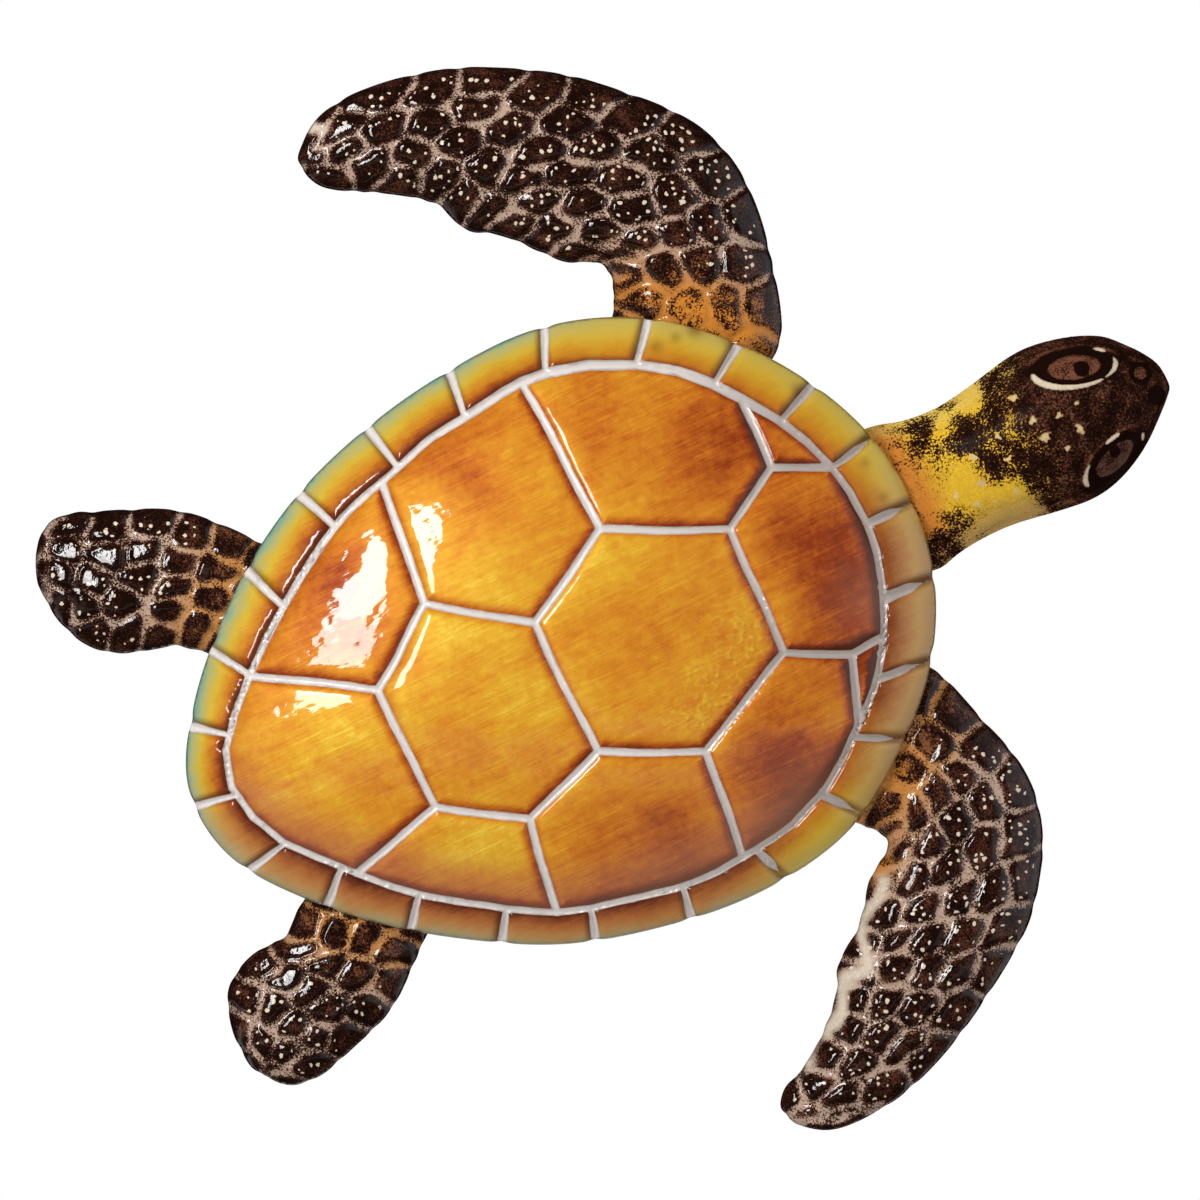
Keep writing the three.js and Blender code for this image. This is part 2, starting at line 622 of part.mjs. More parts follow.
// Weld bead: an oval drop of a length, width and height, lying along one direction and standing up along one
function weldBead(size, middle, along, normal) {
  const bead = new THREE.SphereGeometry(0.5, 12, 8);
  bead.rotateX(Math.PI / 2);
  bead.scale(...size);
  const across = new THREE.Vector3().crossVectors(normal, along);
  const turn = new THREE.Matrix4().makeBasis(along, across, normal);
  bead.applyMatrix4(turn);
  bead.translate(middle.x, middle.y, middle.z);
  return bead;
}

// Bead between the root of a limb and the back of the shell: it fills the room that both leave it
function rootWeld(shell, limb, share) {
  const root = limb.plan.inner([0, limb.plan.width * share]);
  const out = mix([0, 0], root, 1 / Math.hypot(...root));
  const along = [-out[1], out[0]];
  const spot = [0, 1].map((axis) => root[axis] + out[axis] * (ROOT_TUCK - WELD_INSET));
  const shellBack = shell.back();
  const rooms = WELD_GRID.flatMap((u) => WELD_GRID.map((v) => {
    const place = [0, 1].map((axis) => (
      spot[axis] + (u * WELD_LENGTH * along[axis] + v * WELD_WIDTH * out[axis]) / 2));
    const bulge = Math.sqrt(Math.max(0, 1 - u * u - v * v));
    const floor = limb.sheet.heightAt(place, limb.sheet.points) ?? -Infinity;
    return { bulge, floor: floor + SEAT_GAP, ceiling: shell.heightAt(place, shellBack) - SEAT_GAP };
  })).filter(({ bulge }) => bulge > 0);
  const roomUp = (z) => Math.min(...rooms.map(({ bulge, ceiling }) => (ceiling - z) / bulge));
  const roomDown = (z) => Math.min(...rooms.map(({ bulge, floor }) => (z - floor) / bulge));
  let low = Math.max(...rooms.map(({ floor }) => floor));
  let high = Math.min(...rooms.map(({ ceiling }) => ceiling));
  for (let step = 0; step < WELD_FIT_STEPS; step += 1) {
    const z = (low + high) / 2;
    if (roomUp(z) > roomDown(z)) low = z;
    else high = z;
  }
  const middle = new THREE.Vector3(...spot, (low + high) / 2);
  const size = [WELD_LENGTH, WELD_WIDTH, 2 * roomUp(middle.z)];
  return weldBead(size, middle, new THREE.Vector3(...along, 0), new THREE.Vector3(0, 0, 1));
}

// Point of the body's own plan, from one of the upright plan measured from the middle of the shell
function inBody(x, y) {
  const turn = degToRad(-BODY_TILT);
  return [x * Math.cos(turn) - y * Math.sin(turn), x * Math.sin(turn) + y * Math.cos(turn)];
}

// Height that clears the back of the dome at one place up the hanger, right across a width
function hangerSeat(up, width) {
  const sides = [-0.5, 0, 0.5].map((share) => inBody(HANGER_RIGHT + share * width, HANGER_UP + up));
  return Math.min(...sides.map(domeUnderside)) - SEAT_GAP;
}

function toSolid(geometry) {
  const bare = geometry.clone();
  bare.deleteAttribute('normal');
  bare.deleteAttribute('uv');
  const merged = mergeVertices(bare);
  return new wasm.Manifold(new wasm.Mesh({
    numProp: 3,
    vertProperties: new Float32Array(merged.attributes.position.array),
    triVerts: new Uint32Array(merged.index.array),
  }));
}

function toGeometry(solid) {
  const { vertProperties, triVerts } = solid.getMesh();
  const geometry = new THREE.BufferGeometry();
  geometry.setAttribute('position', new THREE.BufferAttribute(vertProperties, 3));
  geometry.setIndex(new THREE.BufferAttribute(triVerts, 1));
  geometry.computeVertexNormals();
  return geometry;
}

function hangerFoot() {
  const start = HANGER_FLAT + HANGER_LEG_RUN;
  return [start, start + HANGER_FOOT].map((up) => [up, hangerSeat(up, HANGER_WIDTH)]);
}

// Strip bent from the wall up to the inside of the shell, with a keyhole in its flat
function hangerGeometry() {
  const foot = hangerFoot();
  const normal = leftOf(...foot);
  const under = foot.map(([up, out]) => [up - normal[0] * HANGER_SHEET, out - normal[1] * HANGER_SHEET]);
  const back = [[-HANGER_DROP, 0], [HANGER_FLAT, 0], ...under];
  const front = back.map((p, i) => {
    const before = leftOf(back[Math.max(0, i - 1)], back[Math.max(1, i)]);
    const after = leftOf(back[Math.min(back.length - 2, i)], back[Math.min(back.length - 1, i + 1)]);
    const step = mitre(before, after, HANGER_SHEET);
    return [p[0] + step[0], p[1] + step[1]];
  });
  const outline = [...back, ...front.reverse()].map(([up, out]) => new THREE.Vector2(up, out));
  const shape = new THREE.Shape(outline);
  const strip = new THREE.ExtrudeGeometry(shape, { depth: HANGER_WIDTH, bevelEnabled: false });
  strip.translate(0, 0, -HANGER_WIDTH / 2);
  strip.applyMatrix4(new THREE.Matrix4().makeBasis(
    new THREE.Vector3(0, 1, 0), new THREE.Vector3(0, 0, 1), new THREE.Vector3(1, 0, 0)));
  const slotTop = -KEYHOLE_TOP - KEYHOLE_SLOT / 2;
  const cutDepth = 4 * HANGER_SHEET;
  const round = (diameter, up) => {
    const hole = new THREE.CylinderGeometry(diameter / 2, diameter / 2, cutDepth, 16);
    hole.rotateX(Math.PI / 2);
    hole.translate(0, up, 0);
    return toSolid(hole);
  };
  const slot = new THREE.BoxGeometry(KEYHOLE_SLOT, KEYHOLE_TRAVEL, cutDepth);
  slot.translate(0, slotTop - KEYHOLE_TRAVEL / 2, 0);
  const ends = round(KEYHOLE_SLOT, slotTop).add(round(KEYHOLE_HEAD, slotTop - KEYHOLE_TRAVEL));
  return toGeometry(toSolid(strip).subtract(toSolid(slot).add(ends)));
}

// Bead along one side of the hanger's foot, under the back of the shell
function hangerWeld(side) {
  const [low, high] = hangerFoot();
  const slope = Math.atan2(high[1] - low[1], high[0] - low[0]);
  const along = new THREE.Vector3(0, Math.cos(slope), Math.sin(slope));
  const normal = new THREE.Vector3(0, -Math.sin(slope), Math.cos(slope));
  const right = side * (HANGER_WIDTH / 2 + SEAT_GAP + HANGER_WELD_WIDTH / 2);
  const up = (low[0] + high[0]) / 2;
  const length = HANGER_FOOT - HANGER_SHEET;
  const edges = [side * HANGER_WIDTH / 2, right + side * HANGER_WELD_WIDTH / 2];
  const rooms = [-0.5, 0, 0.5].flatMap((share) => edges.map((edge) => {
    const spot = inBody(HANGER_RIGHT + edge, HANGER_UP + up + share * length);
    return domeUnderside(spot) - share * length * Math.tan(slope);
  }));
  const top = Math.min(...rooms) - SEAT_GAP;
  const middle = new THREE.Vector3(right, up, top - HANGER_SHEET);
  return weldBead([length, HANGER_WELD_WIDTH, 2 * HANGER_SHEET * Math.cos(slope)], middle, along, normal);
}

function paint(color, roughness, metalness) {
  return new THREE.MeshStandardMaterial({ color, roughness, metalness });
}

function addPiece(group, name, geometry, material) {
  const mesh = new THREE.Mesh(geometry, material);
  mesh.name = name;
  group.add(mesh);
  return mesh;
}

const turtle = new THREE.Group();
turtle.rotation.x = Math.PI / 2;
turtle.position.set(-HANGER_RIGHT, 0, -HANGER_UP);
const body = new THREE.Group();
body.rotation.z = degToRad(BODY_TILT);
turtle.add(body);
const hanger = new THREE.Group();
hanger.position.set(HANGER_RIGHT, HANGER_UP, 0);
turtle.add(hanger);

const shell = shellSheet();
addPiece(body, 'carapace', shell.geometry(), paint('#d2871c', 0.22, 0.35));
const limbs = { head: headSheet() };
for (const [name, limb] of Object.entries(LIMBS)) limbs[name] = flipperSheet(limb);
for (const [name, limb] of Object.entries(limbs)) {
  const color = name === 'head' ? '#6b4a22' : '#2c1b14';
  addPiece(body, name, limb.sheet.geometry(), paint(color, 0.3, 0.15));
  WELD_PLACES.forEach((share, i) => {
    addPiece(body, `${name}_weld_${i + 1}`, rootWeld(shell, limb, share), paint('#55504c', 0.6, 0.8));
  });
}
addPiece(hanger, 'hanger_bracket', hangerGeometry(), paint('#8a8d90', 0.45, 0.9));
[-1, 1].forEach((side, i) => {
  addPiece(hanger, `hanger_weld_${i + 1}`, hangerWeld(side), paint('#55504c', 0.6, 0.8));
});

// Wrapper, so that the model's own turn and place stay inside the exported group
const decoration = new THREE.Group();
decoration.add(turtle);

export default decoration;
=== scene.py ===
import math
from collections import Counter
import bpy
import numpy as np
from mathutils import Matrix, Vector, kdtree
from mathutils.bvhtree import BVHTree
from mathutils.geometry import delaunay_2d_cdt


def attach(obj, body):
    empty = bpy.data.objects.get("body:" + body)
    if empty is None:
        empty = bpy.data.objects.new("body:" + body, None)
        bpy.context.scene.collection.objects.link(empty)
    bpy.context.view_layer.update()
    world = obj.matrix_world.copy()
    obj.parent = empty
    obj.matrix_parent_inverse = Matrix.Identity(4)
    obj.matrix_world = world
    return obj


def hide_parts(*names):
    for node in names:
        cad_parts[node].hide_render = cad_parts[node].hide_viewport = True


# Looks of the metal turtle wall decoration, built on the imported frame.
# The frame is in metres, with the wall at Y = 0, the front towards -Y and +Z up. The pressed sheets
# are worked out in millimetres, as heights above the wall over a plan of X and Z.

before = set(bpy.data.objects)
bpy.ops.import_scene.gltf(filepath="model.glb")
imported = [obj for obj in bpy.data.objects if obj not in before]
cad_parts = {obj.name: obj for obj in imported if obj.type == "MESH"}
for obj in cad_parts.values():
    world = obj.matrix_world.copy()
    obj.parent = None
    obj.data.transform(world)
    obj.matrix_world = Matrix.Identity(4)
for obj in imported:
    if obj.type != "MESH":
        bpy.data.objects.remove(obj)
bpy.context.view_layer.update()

MM = 0.001
FRONT_FACING = 0.02  # least turn towards the viewer of a face of the front
SAME_POINT = 0.01
LINE_STEP = 0.15
BLOCK = 1000  # points worked out together
SEAM_FOLD = 15  # degrees of the shallowest valley that counts as a seam

# Sheets
SHEET = 0.8
FOOT = 1.0
SEAT_GAP = 0.3
SHELL_STEP, LIMB_STEP, HEAD_STEP = 0.8, 0.7, 0.5
OPEN_AREAS = [(4.0, 2.0), (9.0, 4.0)]  # from this far off a seam, that many times the step
SHELL_REACH, LIMB_REACH, HEAD_REACH = 34.0, 9.0, 5.0

# Relief
GROOVE_FLOOR = 0.8
SCUTE_SHOULDER, SCUTE_RISE = 4.4, 1.9
SCUTE_SPREAD, SCUTE_CROWN = 17.0, 1.5
MARGIN_SHOULDER, MARGIN_ROLL, MARGIN_RISE = 3.4, 6.5, 2.8
SCALE_DOME, SCALE_RISE = 2.9, 1.8
SEAM_LIFT = 0.55  # what the rounding of the scales adds to the distance from a seam
# Dark ring of painted shade along each scale's shoulder: how far off a seam it lies, and how wide it is
CREASE_SHADE_AT, CREASE_SHADE_WIDTH = 1.9, 0.6
EDGE_ROUND = 3.2
EDGE_DIP, EDGE_DIP_REACH = 0.6, 2.6  # how the edge is drawn in where a seam reaches it
SHELL_WAVER = (0.35, 9.0)  # how far the lines wander, and over what length
LIMB_WAVER = (0.7, 3.0)
SPOT_WAVER = (0.5, 0.6)
PALE_WAVER = (1.7, 4.5)
RUN_OUT, RUN_OUT_SLOPE = 11.0, 0.6
CROWN_ROUNDS, SCALE_ROUNDS, OUTLINE_ROUNDS = 60, 6, 14  # rounds of evening out

# Colours, linear
SEAM_WHITE = (0.81, 0.75, 0.71)
SEAM_GREY = (0.52, 0.46, 0.43)
SEAM_SHADED = (0.46, 0.39, 0.35)
CREAM = (0.76, 0.63, 0.48)
PALE_CREAM = (0.82, 0.72, 0.58)
LINE_CREAM = (0.56, 0.41, 0.315)
ROOT_ORANGE = (0.62, 0.28, 0.08)
ROOT_BROWN = (0.28, 0.11, 0.04)
GLOW_ORANGE = (0.68, 0.25, 0.03)
AMBER = (0.66, 0.23, 0.03)
YELLOW = (0.81, 0.5, 0.028)
RED_BROWN = (0.064, 0.02, 0.011)
SCALE_BROWN = (0.11, 0.04, 0.026)
DARK_BROWN = (0.01, 0.0035, 0.0022)
BLACK = (0.003, 0.002, 0.002)
LID_BROWN = (0.15, 0.055, 0.035)
LID_GREY = (0.08, 0.05, 0.045)
NECK_TAN = (0.48, 0.32, 0.13)
# Painted highlight along the neck's upper edge
NECK_HIGHLIGHT = (0.8, 0.6, 0.13)
HEAD_BROWN = (0.14, 0.06, 0.036)
SPOT_CREAM = (0.72, 0.56, 0.28)
EYE_CREAM = (0.78, 0.68, 0.5)
LACQUER = [
    (0.0, (0.1, 0.02, 0.006)),
    (0.25, (0.335, 0.049, 0.007)),
    (0.45, (0.575, 0.147, 0.012)),
    (0.65, (0.72, 0.27, 0.018)),
    (0.85, (0.8, 0.425, 0.028)),
    (1.0, (0.88, 0.62, 0.07)),
]
MARGIN_TEAL = [
    (0.0, (0.24, 0.42, 0.3)),
    (0.12, (0.46, 0.46, 0.18)),
    (0.34, (0.64, 0.43, 0.035)),
    (0.6, (0.6, 0.22, 0.012)),
    (0.8, (0.34, 0.06, 0.008)),
    (1.0, (0.09, 0.014, 0.004)),
]
MARGIN_SUN = [
    (0.0, (0.61, 0.48, 0.11)),
    (0.35, (0.67, 0.43, 0.045)),
    (0.6, (0.64, 0.31, 0.02)),
    (0.85, (0.56, 0.17, 0.015)),
    (1.0, (0.34, 0.07, 0.01)),
]
# Painted shade in the creases beside the margin's seams
MARGIN_CREASE_SHADE = (0.1, 0.02, 0.006)
# Painted reflection of a dim room: a mauve veil over the lower and right-hand scutes
HAZE_REFLECTION = (0.42, 0.19, 0.12)
MARGIN_TAN = [
    (0.0, (0.5, 0.3, 0.125)),
    (0.3, (0.54, 0.31, 0.105)),
    (0.52, (0.46, 0.2, 0.065)),
    (0.76, (0.29, 0.075, 0.022)),
    (1.0, (0.1, 0.018, 0.005)),
]
MARGIN_RUST = [
    (0.0, (0.42, 0.42, 0.25)),
    (0.12, (0.52, 0.35, 0.15)),
    (0.34, (0.54, 0.24, 0.07)),
    (0.6, (0.43, 0.13, 0.034)),
    (0.85, (0.15, 0.03, 0.009)),
    (1.0, (0.05, 0.008, 0.003)),
]

# Stage
WHITE = (1.0, 1.0, 1.0)
SCREEN_RADIUS, SCREEN_LOW, SCREEN_STEP = 2.8, -0.93, 10
SCREEN_DARK, SCREEN_PALE, SCREEN_FADE = (0.01, 0.01, 0.01), (0.60, 0.60, 0.60), (1.5, 2.2)
SCREEN_SIDE, SIDE_FADE, BOTTOM_FADE = (0.85, 0.88, 0.95), (1.6, 2.6), (-0.92, -0.90)
FLOOR_Z, FLOOR_RADIUS, FLOOR_FADE = -0.95, 4.0, (0.5, 1.6)
FLOOR_SIDES, FLOOR_PALE = 96, (0.82, 0.82, 0.82)
ROOM_LIGHT = 0.42
PICTURE_WIDTH, PICTURE_MIDDLE, PICTURE_PLANE = 0.42, (-0.0062, -0.0557), -0.006
LENS, SENSOR = 300, 36
LAMP_TARGET = (-0.006, -0.02, -0.056)
LAMPS = [  # name, place, width and height, watts, and whether the gloss mirrors it
    ("window", (-0.86, -1.06, 0.49), (0.30, 0.42), 8.5, True),
    ("window_low", (-0.86, -1.06, 0.12), (0.30, 0.30), 4.1, True),
    ("fill", (0.9, -1.2, 0.2), (1.0, 1.0), 4.2, False),
    ("top", (-0.2, -0.2, 1.3), (1.2, 0.5), 4, False),
    ("behind", (0.5, 1.5, 0.5), (1.2, 1.2), 12, False),
]

# Painted patches: X, Z, radius and strength, in millimetres
SHELL_PATCHES = [
    (36, 4, 20, -0.46), (-6, 16, 22, -0.16), (-59, 0, 18, -0.24), (-97, -42, 14, -0.22),
    (-98, -60, 24, -0.20), (-112, -66, 14, -0.10), (77, -36, 20, -0.43), (57, -24, 20, -0.18),
    (78, -63, 18, -0.38), (88, -78, 12, -0.30), (64, -126, 22, -0.36), (60, -105, 20, -0.26),
    (22, -133, 18, -0.20), (4, -138, 20, -0.22), (-16, -118, 10, 0.10), (-52, -146, 16, 0.20),
    (-52, -160, 14, -0.12), (-73, -98, 18, 0.14), (-30, -90, 18, 0.10), (-10, -45, 16, 0.12),
    (-52, -45, 20, 0.08), (-58, -70, 14, 0.10), (-100, -96, 18, 0.12),
]
# Patches of painted reflection on the lower and right-hand scutes
HAZE_REFLECTIONS = [(56, -130, 24, 0.22), (85, -56, 12, 0.24), (16, -144, 18, 0.15)]
# Dark spots along the top and right of the margin, laid in with the painted crease shade
DARK_SPOTS = [
    (27, 39, 3, 0.6), (20, 36, 2, 0.4), (13, 33, 2.5, 0.4), (38, 35, 2.5, 0.4), (62, 18, 2.5, 0.35),
    (86, -8, 2, 0.35), (92, -20, 2, 0.4),
]
RIPPLES = [(44, -68, 14, 1.0), (36, -88, 12, 0.8), (24, -96, 8, 0.5)]

# Paint of the shell
SUN_LEFT = (-45, 0)  # X between which the margin turns from teal to sunny
TAN_RIGHT, TAN_BELOW = (70, 100), (0, -40)  # X and Z between which it turns to tan
RUST_RIGHT, RUST_BELOW = (75, 35), (-115, -145)  # and to rust
SHORT_WEDGES = (76, 92)  # X from which the rim's seams are short
SHORT_LEAN, SHORT_LEAN_FROM = 0.35, -40  # further left the lower they are, from this Z down
SCUTE_LINE, RING_LINE, RING_LINE_TOP = 1.4, 1.25, 0.6  # half widths of the painted seams
TOP_OF_RING = (-10.0, 22.0)
SHELL_TONE = 0.69
SHADE_MOST, SHADE_SIDE = 0.75, (10, 70)  # how far the seams are greyed, between what X
SHADOW_SIDE = (0.8, -0.6)  # the lower right side of a pillow, away from the light: the lacquer ran there, and painted shade lies there
LINE_EDGE = 1.0  # where the lacquer starts beside a seam
POOL_AND_SHADE, POOL_AND_SHADE_REACH = (0.10, 0.46), (2.6, 3.6)  # darker lacquer beside the seams, pooled lacquer and painted shade: all round, and what the shadow side has more
# Painted shade beside the margin's seams: all round, and what the shadow side has more
CREASE_SHADE, CREASE_SHADE_REACH = (0.25, 0.65), (1.8, 3.0)
LOW_PART = (-90, -140)  # Z between which the lower scutes take painted shade and painted reflection
LOW_SHADE, LOW_SHADE_REACH = 0.22, (20, 3)
# Painted reflection of the pale floor on the low scutes, and the most painted reflection anywhere
LOW_HAZE_REFLECTION, LOW_REFLECTION_REACH, REFLECTION_MOST = 0.35, (22, 4), 0.6
# How far the marginal seams lie along the ring from the grooves of the frame: X, Z, reach and
# millimetres counterclockwise as seen from the front
TICK_SLIDES = [
    (-124, -72, 45, 13.5), (92, -82, 31, -9.0), (-95, -151, 14, -6.0), (-69, -160, 12, -3.5),
    (23, -157, 18, 2.6),
]
SLIDE_AT_RIM = 0.36  # share of the slide that is left at the rim
WEDGE_OUTER, WEDGE_INNER, SHORT_WEDGE = 1.7, 1.0, (0.12, 0.55)
LEAST_WEDGE, LEAST_AWAY, ON_RING, SEAM_HELD = 0.05, 0.05, 0.1, 1.0
STREAK_TURN = 27.0  # degrees that the brush strokes rise to the right
# Strokes to a metre each way
STREAKS, COARSE, SCRATCHES, DABS = (75, 75, 1700), (30, 30, 240), (42, 42, 1500), (110, 110, 330)
CLOUD_SIZE, MOTTLE_SIZE, BUBBLE_SIZE, WAVE_SIZE = 0.028, 0.0032, 0.0021, 0.014
LACQUER_WEAR = {"streaks": 0.36, "coarse": 0.32, "clouds": 0.75, "mottle": 0.34}
MARGIN_WEAR = {"streaks": 0.25, "coarse": 0.15, "clouds": 0.5, "mottle": 0.2}

# Paint of the flippers and the head
FLIPPER_COAT = (0.0007, 1.0, 0.06)  # grain in metres, and weight and roughness of the clear coat
HEAD_COAT = (0.0008, 0.03, 0.20)
SPONGE_CLOUD_SIZE, LUMP_SIZE = 0.007, 0.0045
DOT_SPACING, DOT_SHARE, DOT_BEND, DOT_BENDS = 0.0031, 0.57, 0.0022, 400.0
DOT_RADIUS, DOT_SPREAD = 0.12, 0.15  # in spacings: the least, and what chance adds
DOTS_OFF_SEAM, DOTS_OFF_ROOT, DOTS_OFF_EDGE = (0.9, 1.6), (12, 30), (2, 4)
# The sponge's extra darkness at each scale's shoulder is painted shade
SPONGE_LINE, SPONGE_SCALE, SPONGE_CREASE_SHADE, SPONGE_RISE = 0.46, 0.63, 0.06, (0.0, 1.1)
SCALE_GROUND, SCALE_TOP = (0.3, 1.2), (0.8, 1.8)  # how far off a seam these start
ROOT_WARMTH, ROOT_BROWNED = (32, 5), 0.6
WARM_THINS, BARE_THINS, GLOW_THINS = 0.06, 0.4, 0.12  # how much lighter the sponge is there
GLINT_WAY, GLINT_SLOPE, GLINT_ROUND = (-0.87, 0.49), 0.38, 0.012  # how scales lean towards the window
PALE_EDGE = (4.6, 0.4)  # how far the paint of a pale edge fades
BARE_FLATTENS = 0.7  # share of a scale's rise that a pale edge takes away
# What sets each flipper apart: more sponge, patches of leaning, orange and dark scales, and a pale path
FLIPPERS = {
    "front_left_flipper": {
        "sponge": 0.02,
        "glints": [(-106, 103, 8, 0.9), (3, 61, 7, 0.7)],
        "glows": [(22, 46, 13, 1.0), (42, 36, 14, 1.0), (4, 52, 8, 0.6)],
        "pale": [(-107, 109), (-105, 111)],
    },
    "front_right_flipper": {
        "sponge": 0.0,
        "glints": [(99, -155, 7, 0.9)],
        "glows": [(91, -148, 6, 0.9), (97, -118, 9, 0.6)],
        "pale": [(92, -153), (88, -165), (86, -172), (86, -183), (79, -193), (74, -205), (67, -216)],
    },
    "rear_left_flipper": {
        "sponge": 0.01,
        "glints": [(-188, -38, 17, 1.0), (-160, -33, 11, 0.7)],
        "darks": [(-186, -46, 24, 0.09)],
    },
    "rear_right_flipper": {"sponge": 0.03, "glints": [(-118, -180, 18, 1.0)]},
}
NECK_AMBER = (15, 3)
NECK_EDGE_TINTS = [  # colour, most, distance from the edge and Z: tan along the lower edge, and a painted highlight along the upper edge
    (NECK_TAN, 0.8, (13, 1), (0, -15)),
    (NECK_HIGHLIGHT, 0.7, (9, 2), (-4, 8)),
]
HEAD_STIPPLE, STIPPLE_RANGE = 0.37, (0.1, 0.64)
HEAD_SPONGE = [
    (121, 2, 16, 0.27), (139, 9, 15, 0.27), (151, -7, 15, 0.25), (159, 20, 22, 0.5),
    (177, 7, 24, 0.5), (134, -10, 9, 0.22), (156, -18, 9, 0.26), (172, -14, 14, 0.4),
    (119, -26, 5, 0.26), (113, -39, 7, 0.42), (104, 3, 6, 0.22), (137, 2, 5, -0.40),
    (123, 14, 6, -0.38), (114, 6, 4, -0.28), (141, -18, 10, -0.20), (124, -15, 10, -0.26),
]
HEAD_SPOTS = [
    (137.7, 14.5, 1.5), (144.5, 6.9, 1.5), (148.8, 1.2, 2.1), (153.6, 8.6, 1.3), (160, 13, 1),
    (160.9, 3.8, 2), (124.1, -5.8, 1.3), (127, -15, 1.6), (125.7, -22.3, 1.3), (132, -21.1, 1.1),
    (139.5, -18.1, 1.4), (136, -6.7, 1.3), (156.5, -3.2, 1.2), (118, -19, 1.2), (132.5, 1.2, 1.1),
]
HEAD_BROWNED = [
    (164, 26, 20, 1.2), (182, 12, 20, 1.2), (172, -10, 15, 1.1), (148, 22, 12, 0.8), (158, 4, 12, 0.8),
    (158, -17, 9, 0.7), (144, 8, 7, 0.4),
]
UPPER_EYE = (
    (159.1, 25.4), (14.6, 6.9), 8, LID_BROWN, (161.5, 24.8, 2.6),
    [(-179, -50, 0.14), (-46, 14, 0.07), (36, 58, 0.08)],
)
LOWER_EYE = (
    (173.4, -6.3), (13.1, 5.9), 45, LID_GREY, (173.2, -3.9, 1.8),
    [(126, 188, 0.09), (58, 86, 0.12), (-28, -4, 0.06)],
)
EYE_LID, EYE_BALL, LID_FOLD, PUPIL_EDGE = 0.9, 1.0, 1.12, 0.3
EYE_SOCKET, EYE_DARK, EYE_IRIS = (1.25, 1.05), (0.95, 0.85), (0.70, 0.60)  # in radii of the eye
NOSTRILS = [(182.3, 23.5, 3.3, LID_BROWN, 0.50), (188.2, 15.7, 2.8, BLACK, 1.0)]
NOSTRIL_RIM, NOSTRIL_DARK, NOSTRIL_HOLE = 0.7, (1.3, 1.1), (0.85, 0.65)

# Bare metal: pale and dark colour, size of the blotches in metres, roughness and metallic share
SHEET_BACK = ((0.20, 0.18, 0.165), (0.11, 0.095, 0.085), 0.03, 0.55, 0.3)
WELD_METAL = ((0.30, 0.27, 0.25), (0.12, 0.10, 0.09), 0.003, 0.5, 0.8)
HANGER_STEEL = ((0.55, 0.56, 0.57), (0.38, 0.38, 0.39), 0.01, 0.38, 0.9)
METAL_SCRATCHES, METAL_TURN = (40, 40, 1500), 20
BEAD_RINGS, BEAD_SIDES, BEAD_RIPPLES, BEAD_RIPPLE, BEAD_LAG = 41, 16, 4, 0.10, 0.06
BEAD_END = 0.97
HANGER_SOFTNESS = 0.00025


def ease(value, low, high):
    """0 below low, 1 above high and a smooth step between."""
    share = np.clip((value - low) / (high - low), 0, 1)
    return share * share * (3 - 2 * share)


def shoulder(share):
    """Rounded rise from 0 at 0 to 1 at 1 and beyond."""
    return np.sqrt(1 - (1 - np.clip(share, 0, 1)) ** 2)


def patches(plan, spots):
    """Sum of soft round patches over the plan."""
    total = np.zeros(len(plan))
    for x, z, radius, strength in spots:
        total += strength * np.exp(-np.sum((plan - (x, z)) ** 2, axis=1) / radius ** 2)
    return total


def closed_lines(loop):
    """Line pieces of a closed loop."""
    return np.stack([loop, np.roll(loop, -1, axis=0)], axis=1)


def along_lines(lines, step):
    """Points along line pieces, at most a step apart."""
    runs = []
    for start, end in lines:
        count = max(1, math.ceil(np.linalg.norm(end - start) / step))
        runs.append(start + (end - start) * (np.arange(count) / count)[:, None])
    return np.concatenate(runs)


def from_nearest(lines, plan):
    """Vector to each plan point from the nearest point of the line pieces."""
    along = along_lines(lines, LINE_STEP)
    tree = kdtree.KDTree(len(along))
    for index, (x, z) in enumerate(along.tolist()):
        tree.insert((x, z, 0), index)
    tree.balance()
    nearest = [tree.find((x, z, 0))[1] for x, z in plan.tolist()]
    return plan - along[nearest]


def distance_to(lines, plan):
    """Distance of each plan point from the nearest line piece."""
    return np.linalg.norm(from_nearest(lines, plan), axis=1)


def wavering(plan, reach, length):
    """The plan moved a little to and fro, so that seams bend."""
    x, z = plan.T / length
    aside, up = np.sin(z + 2 * np.sin(0.7 * x)), np.sin(1.1 * x + 2 * np.sin(0.8 * z))
    return plan + reach * np.stack([aside, up], axis=1)


def rounded(loop, step):
    """A loop through the same points without corners, and the side that each new point is on."""
    points, sides = [], []
    for side in range(len(loop)):
        before, start, end, after = (loop[(side + shift) % len(loop)] for shift in (-1, 0, 1, 2))
        length = np.linalg.norm(end - start)
        leave = (end - before) * length / max(np.linalg.norm(end - before), 1e-9)
        arrive = (after - start) * length / max(np.linalg.norm(after - start), 1e-9)
        count = max(1, math.ceil(length / step))
        t = (np.arange(count) / count)[:, None]
        bend = (2 * t ** 3 - 3 * t ** 2 + 1) * start + (t ** 3 - 2 * t ** 2 + t) * leave
        bend += (3 * t ** 2 - 2 * t ** 3) * end + (t ** 3 - t ** 2) * arrive
        points.append(bend)
        sides += [side] * count
    return np.concatenate(points), np.array(sides)


def scalloped(outline, seams):
    """The outline, drawn in a little wherever a seam reaches it."""
    ahead = np.roll(outline, -1, axis=0) - np.roll(outline, 1, axis=0)
    inward = np.stack([-ahead[:, 1], ahead[:, 0]], axis=1)
    inward /= np.linalg.norm(ahead, axis=1, keepdims=True)
    near = distance_to(seams, outline)
    return outline + EDGE_DIP * np.exp(-(near / EDGE_DIP_REACH) ** 2)[:, None] * inward


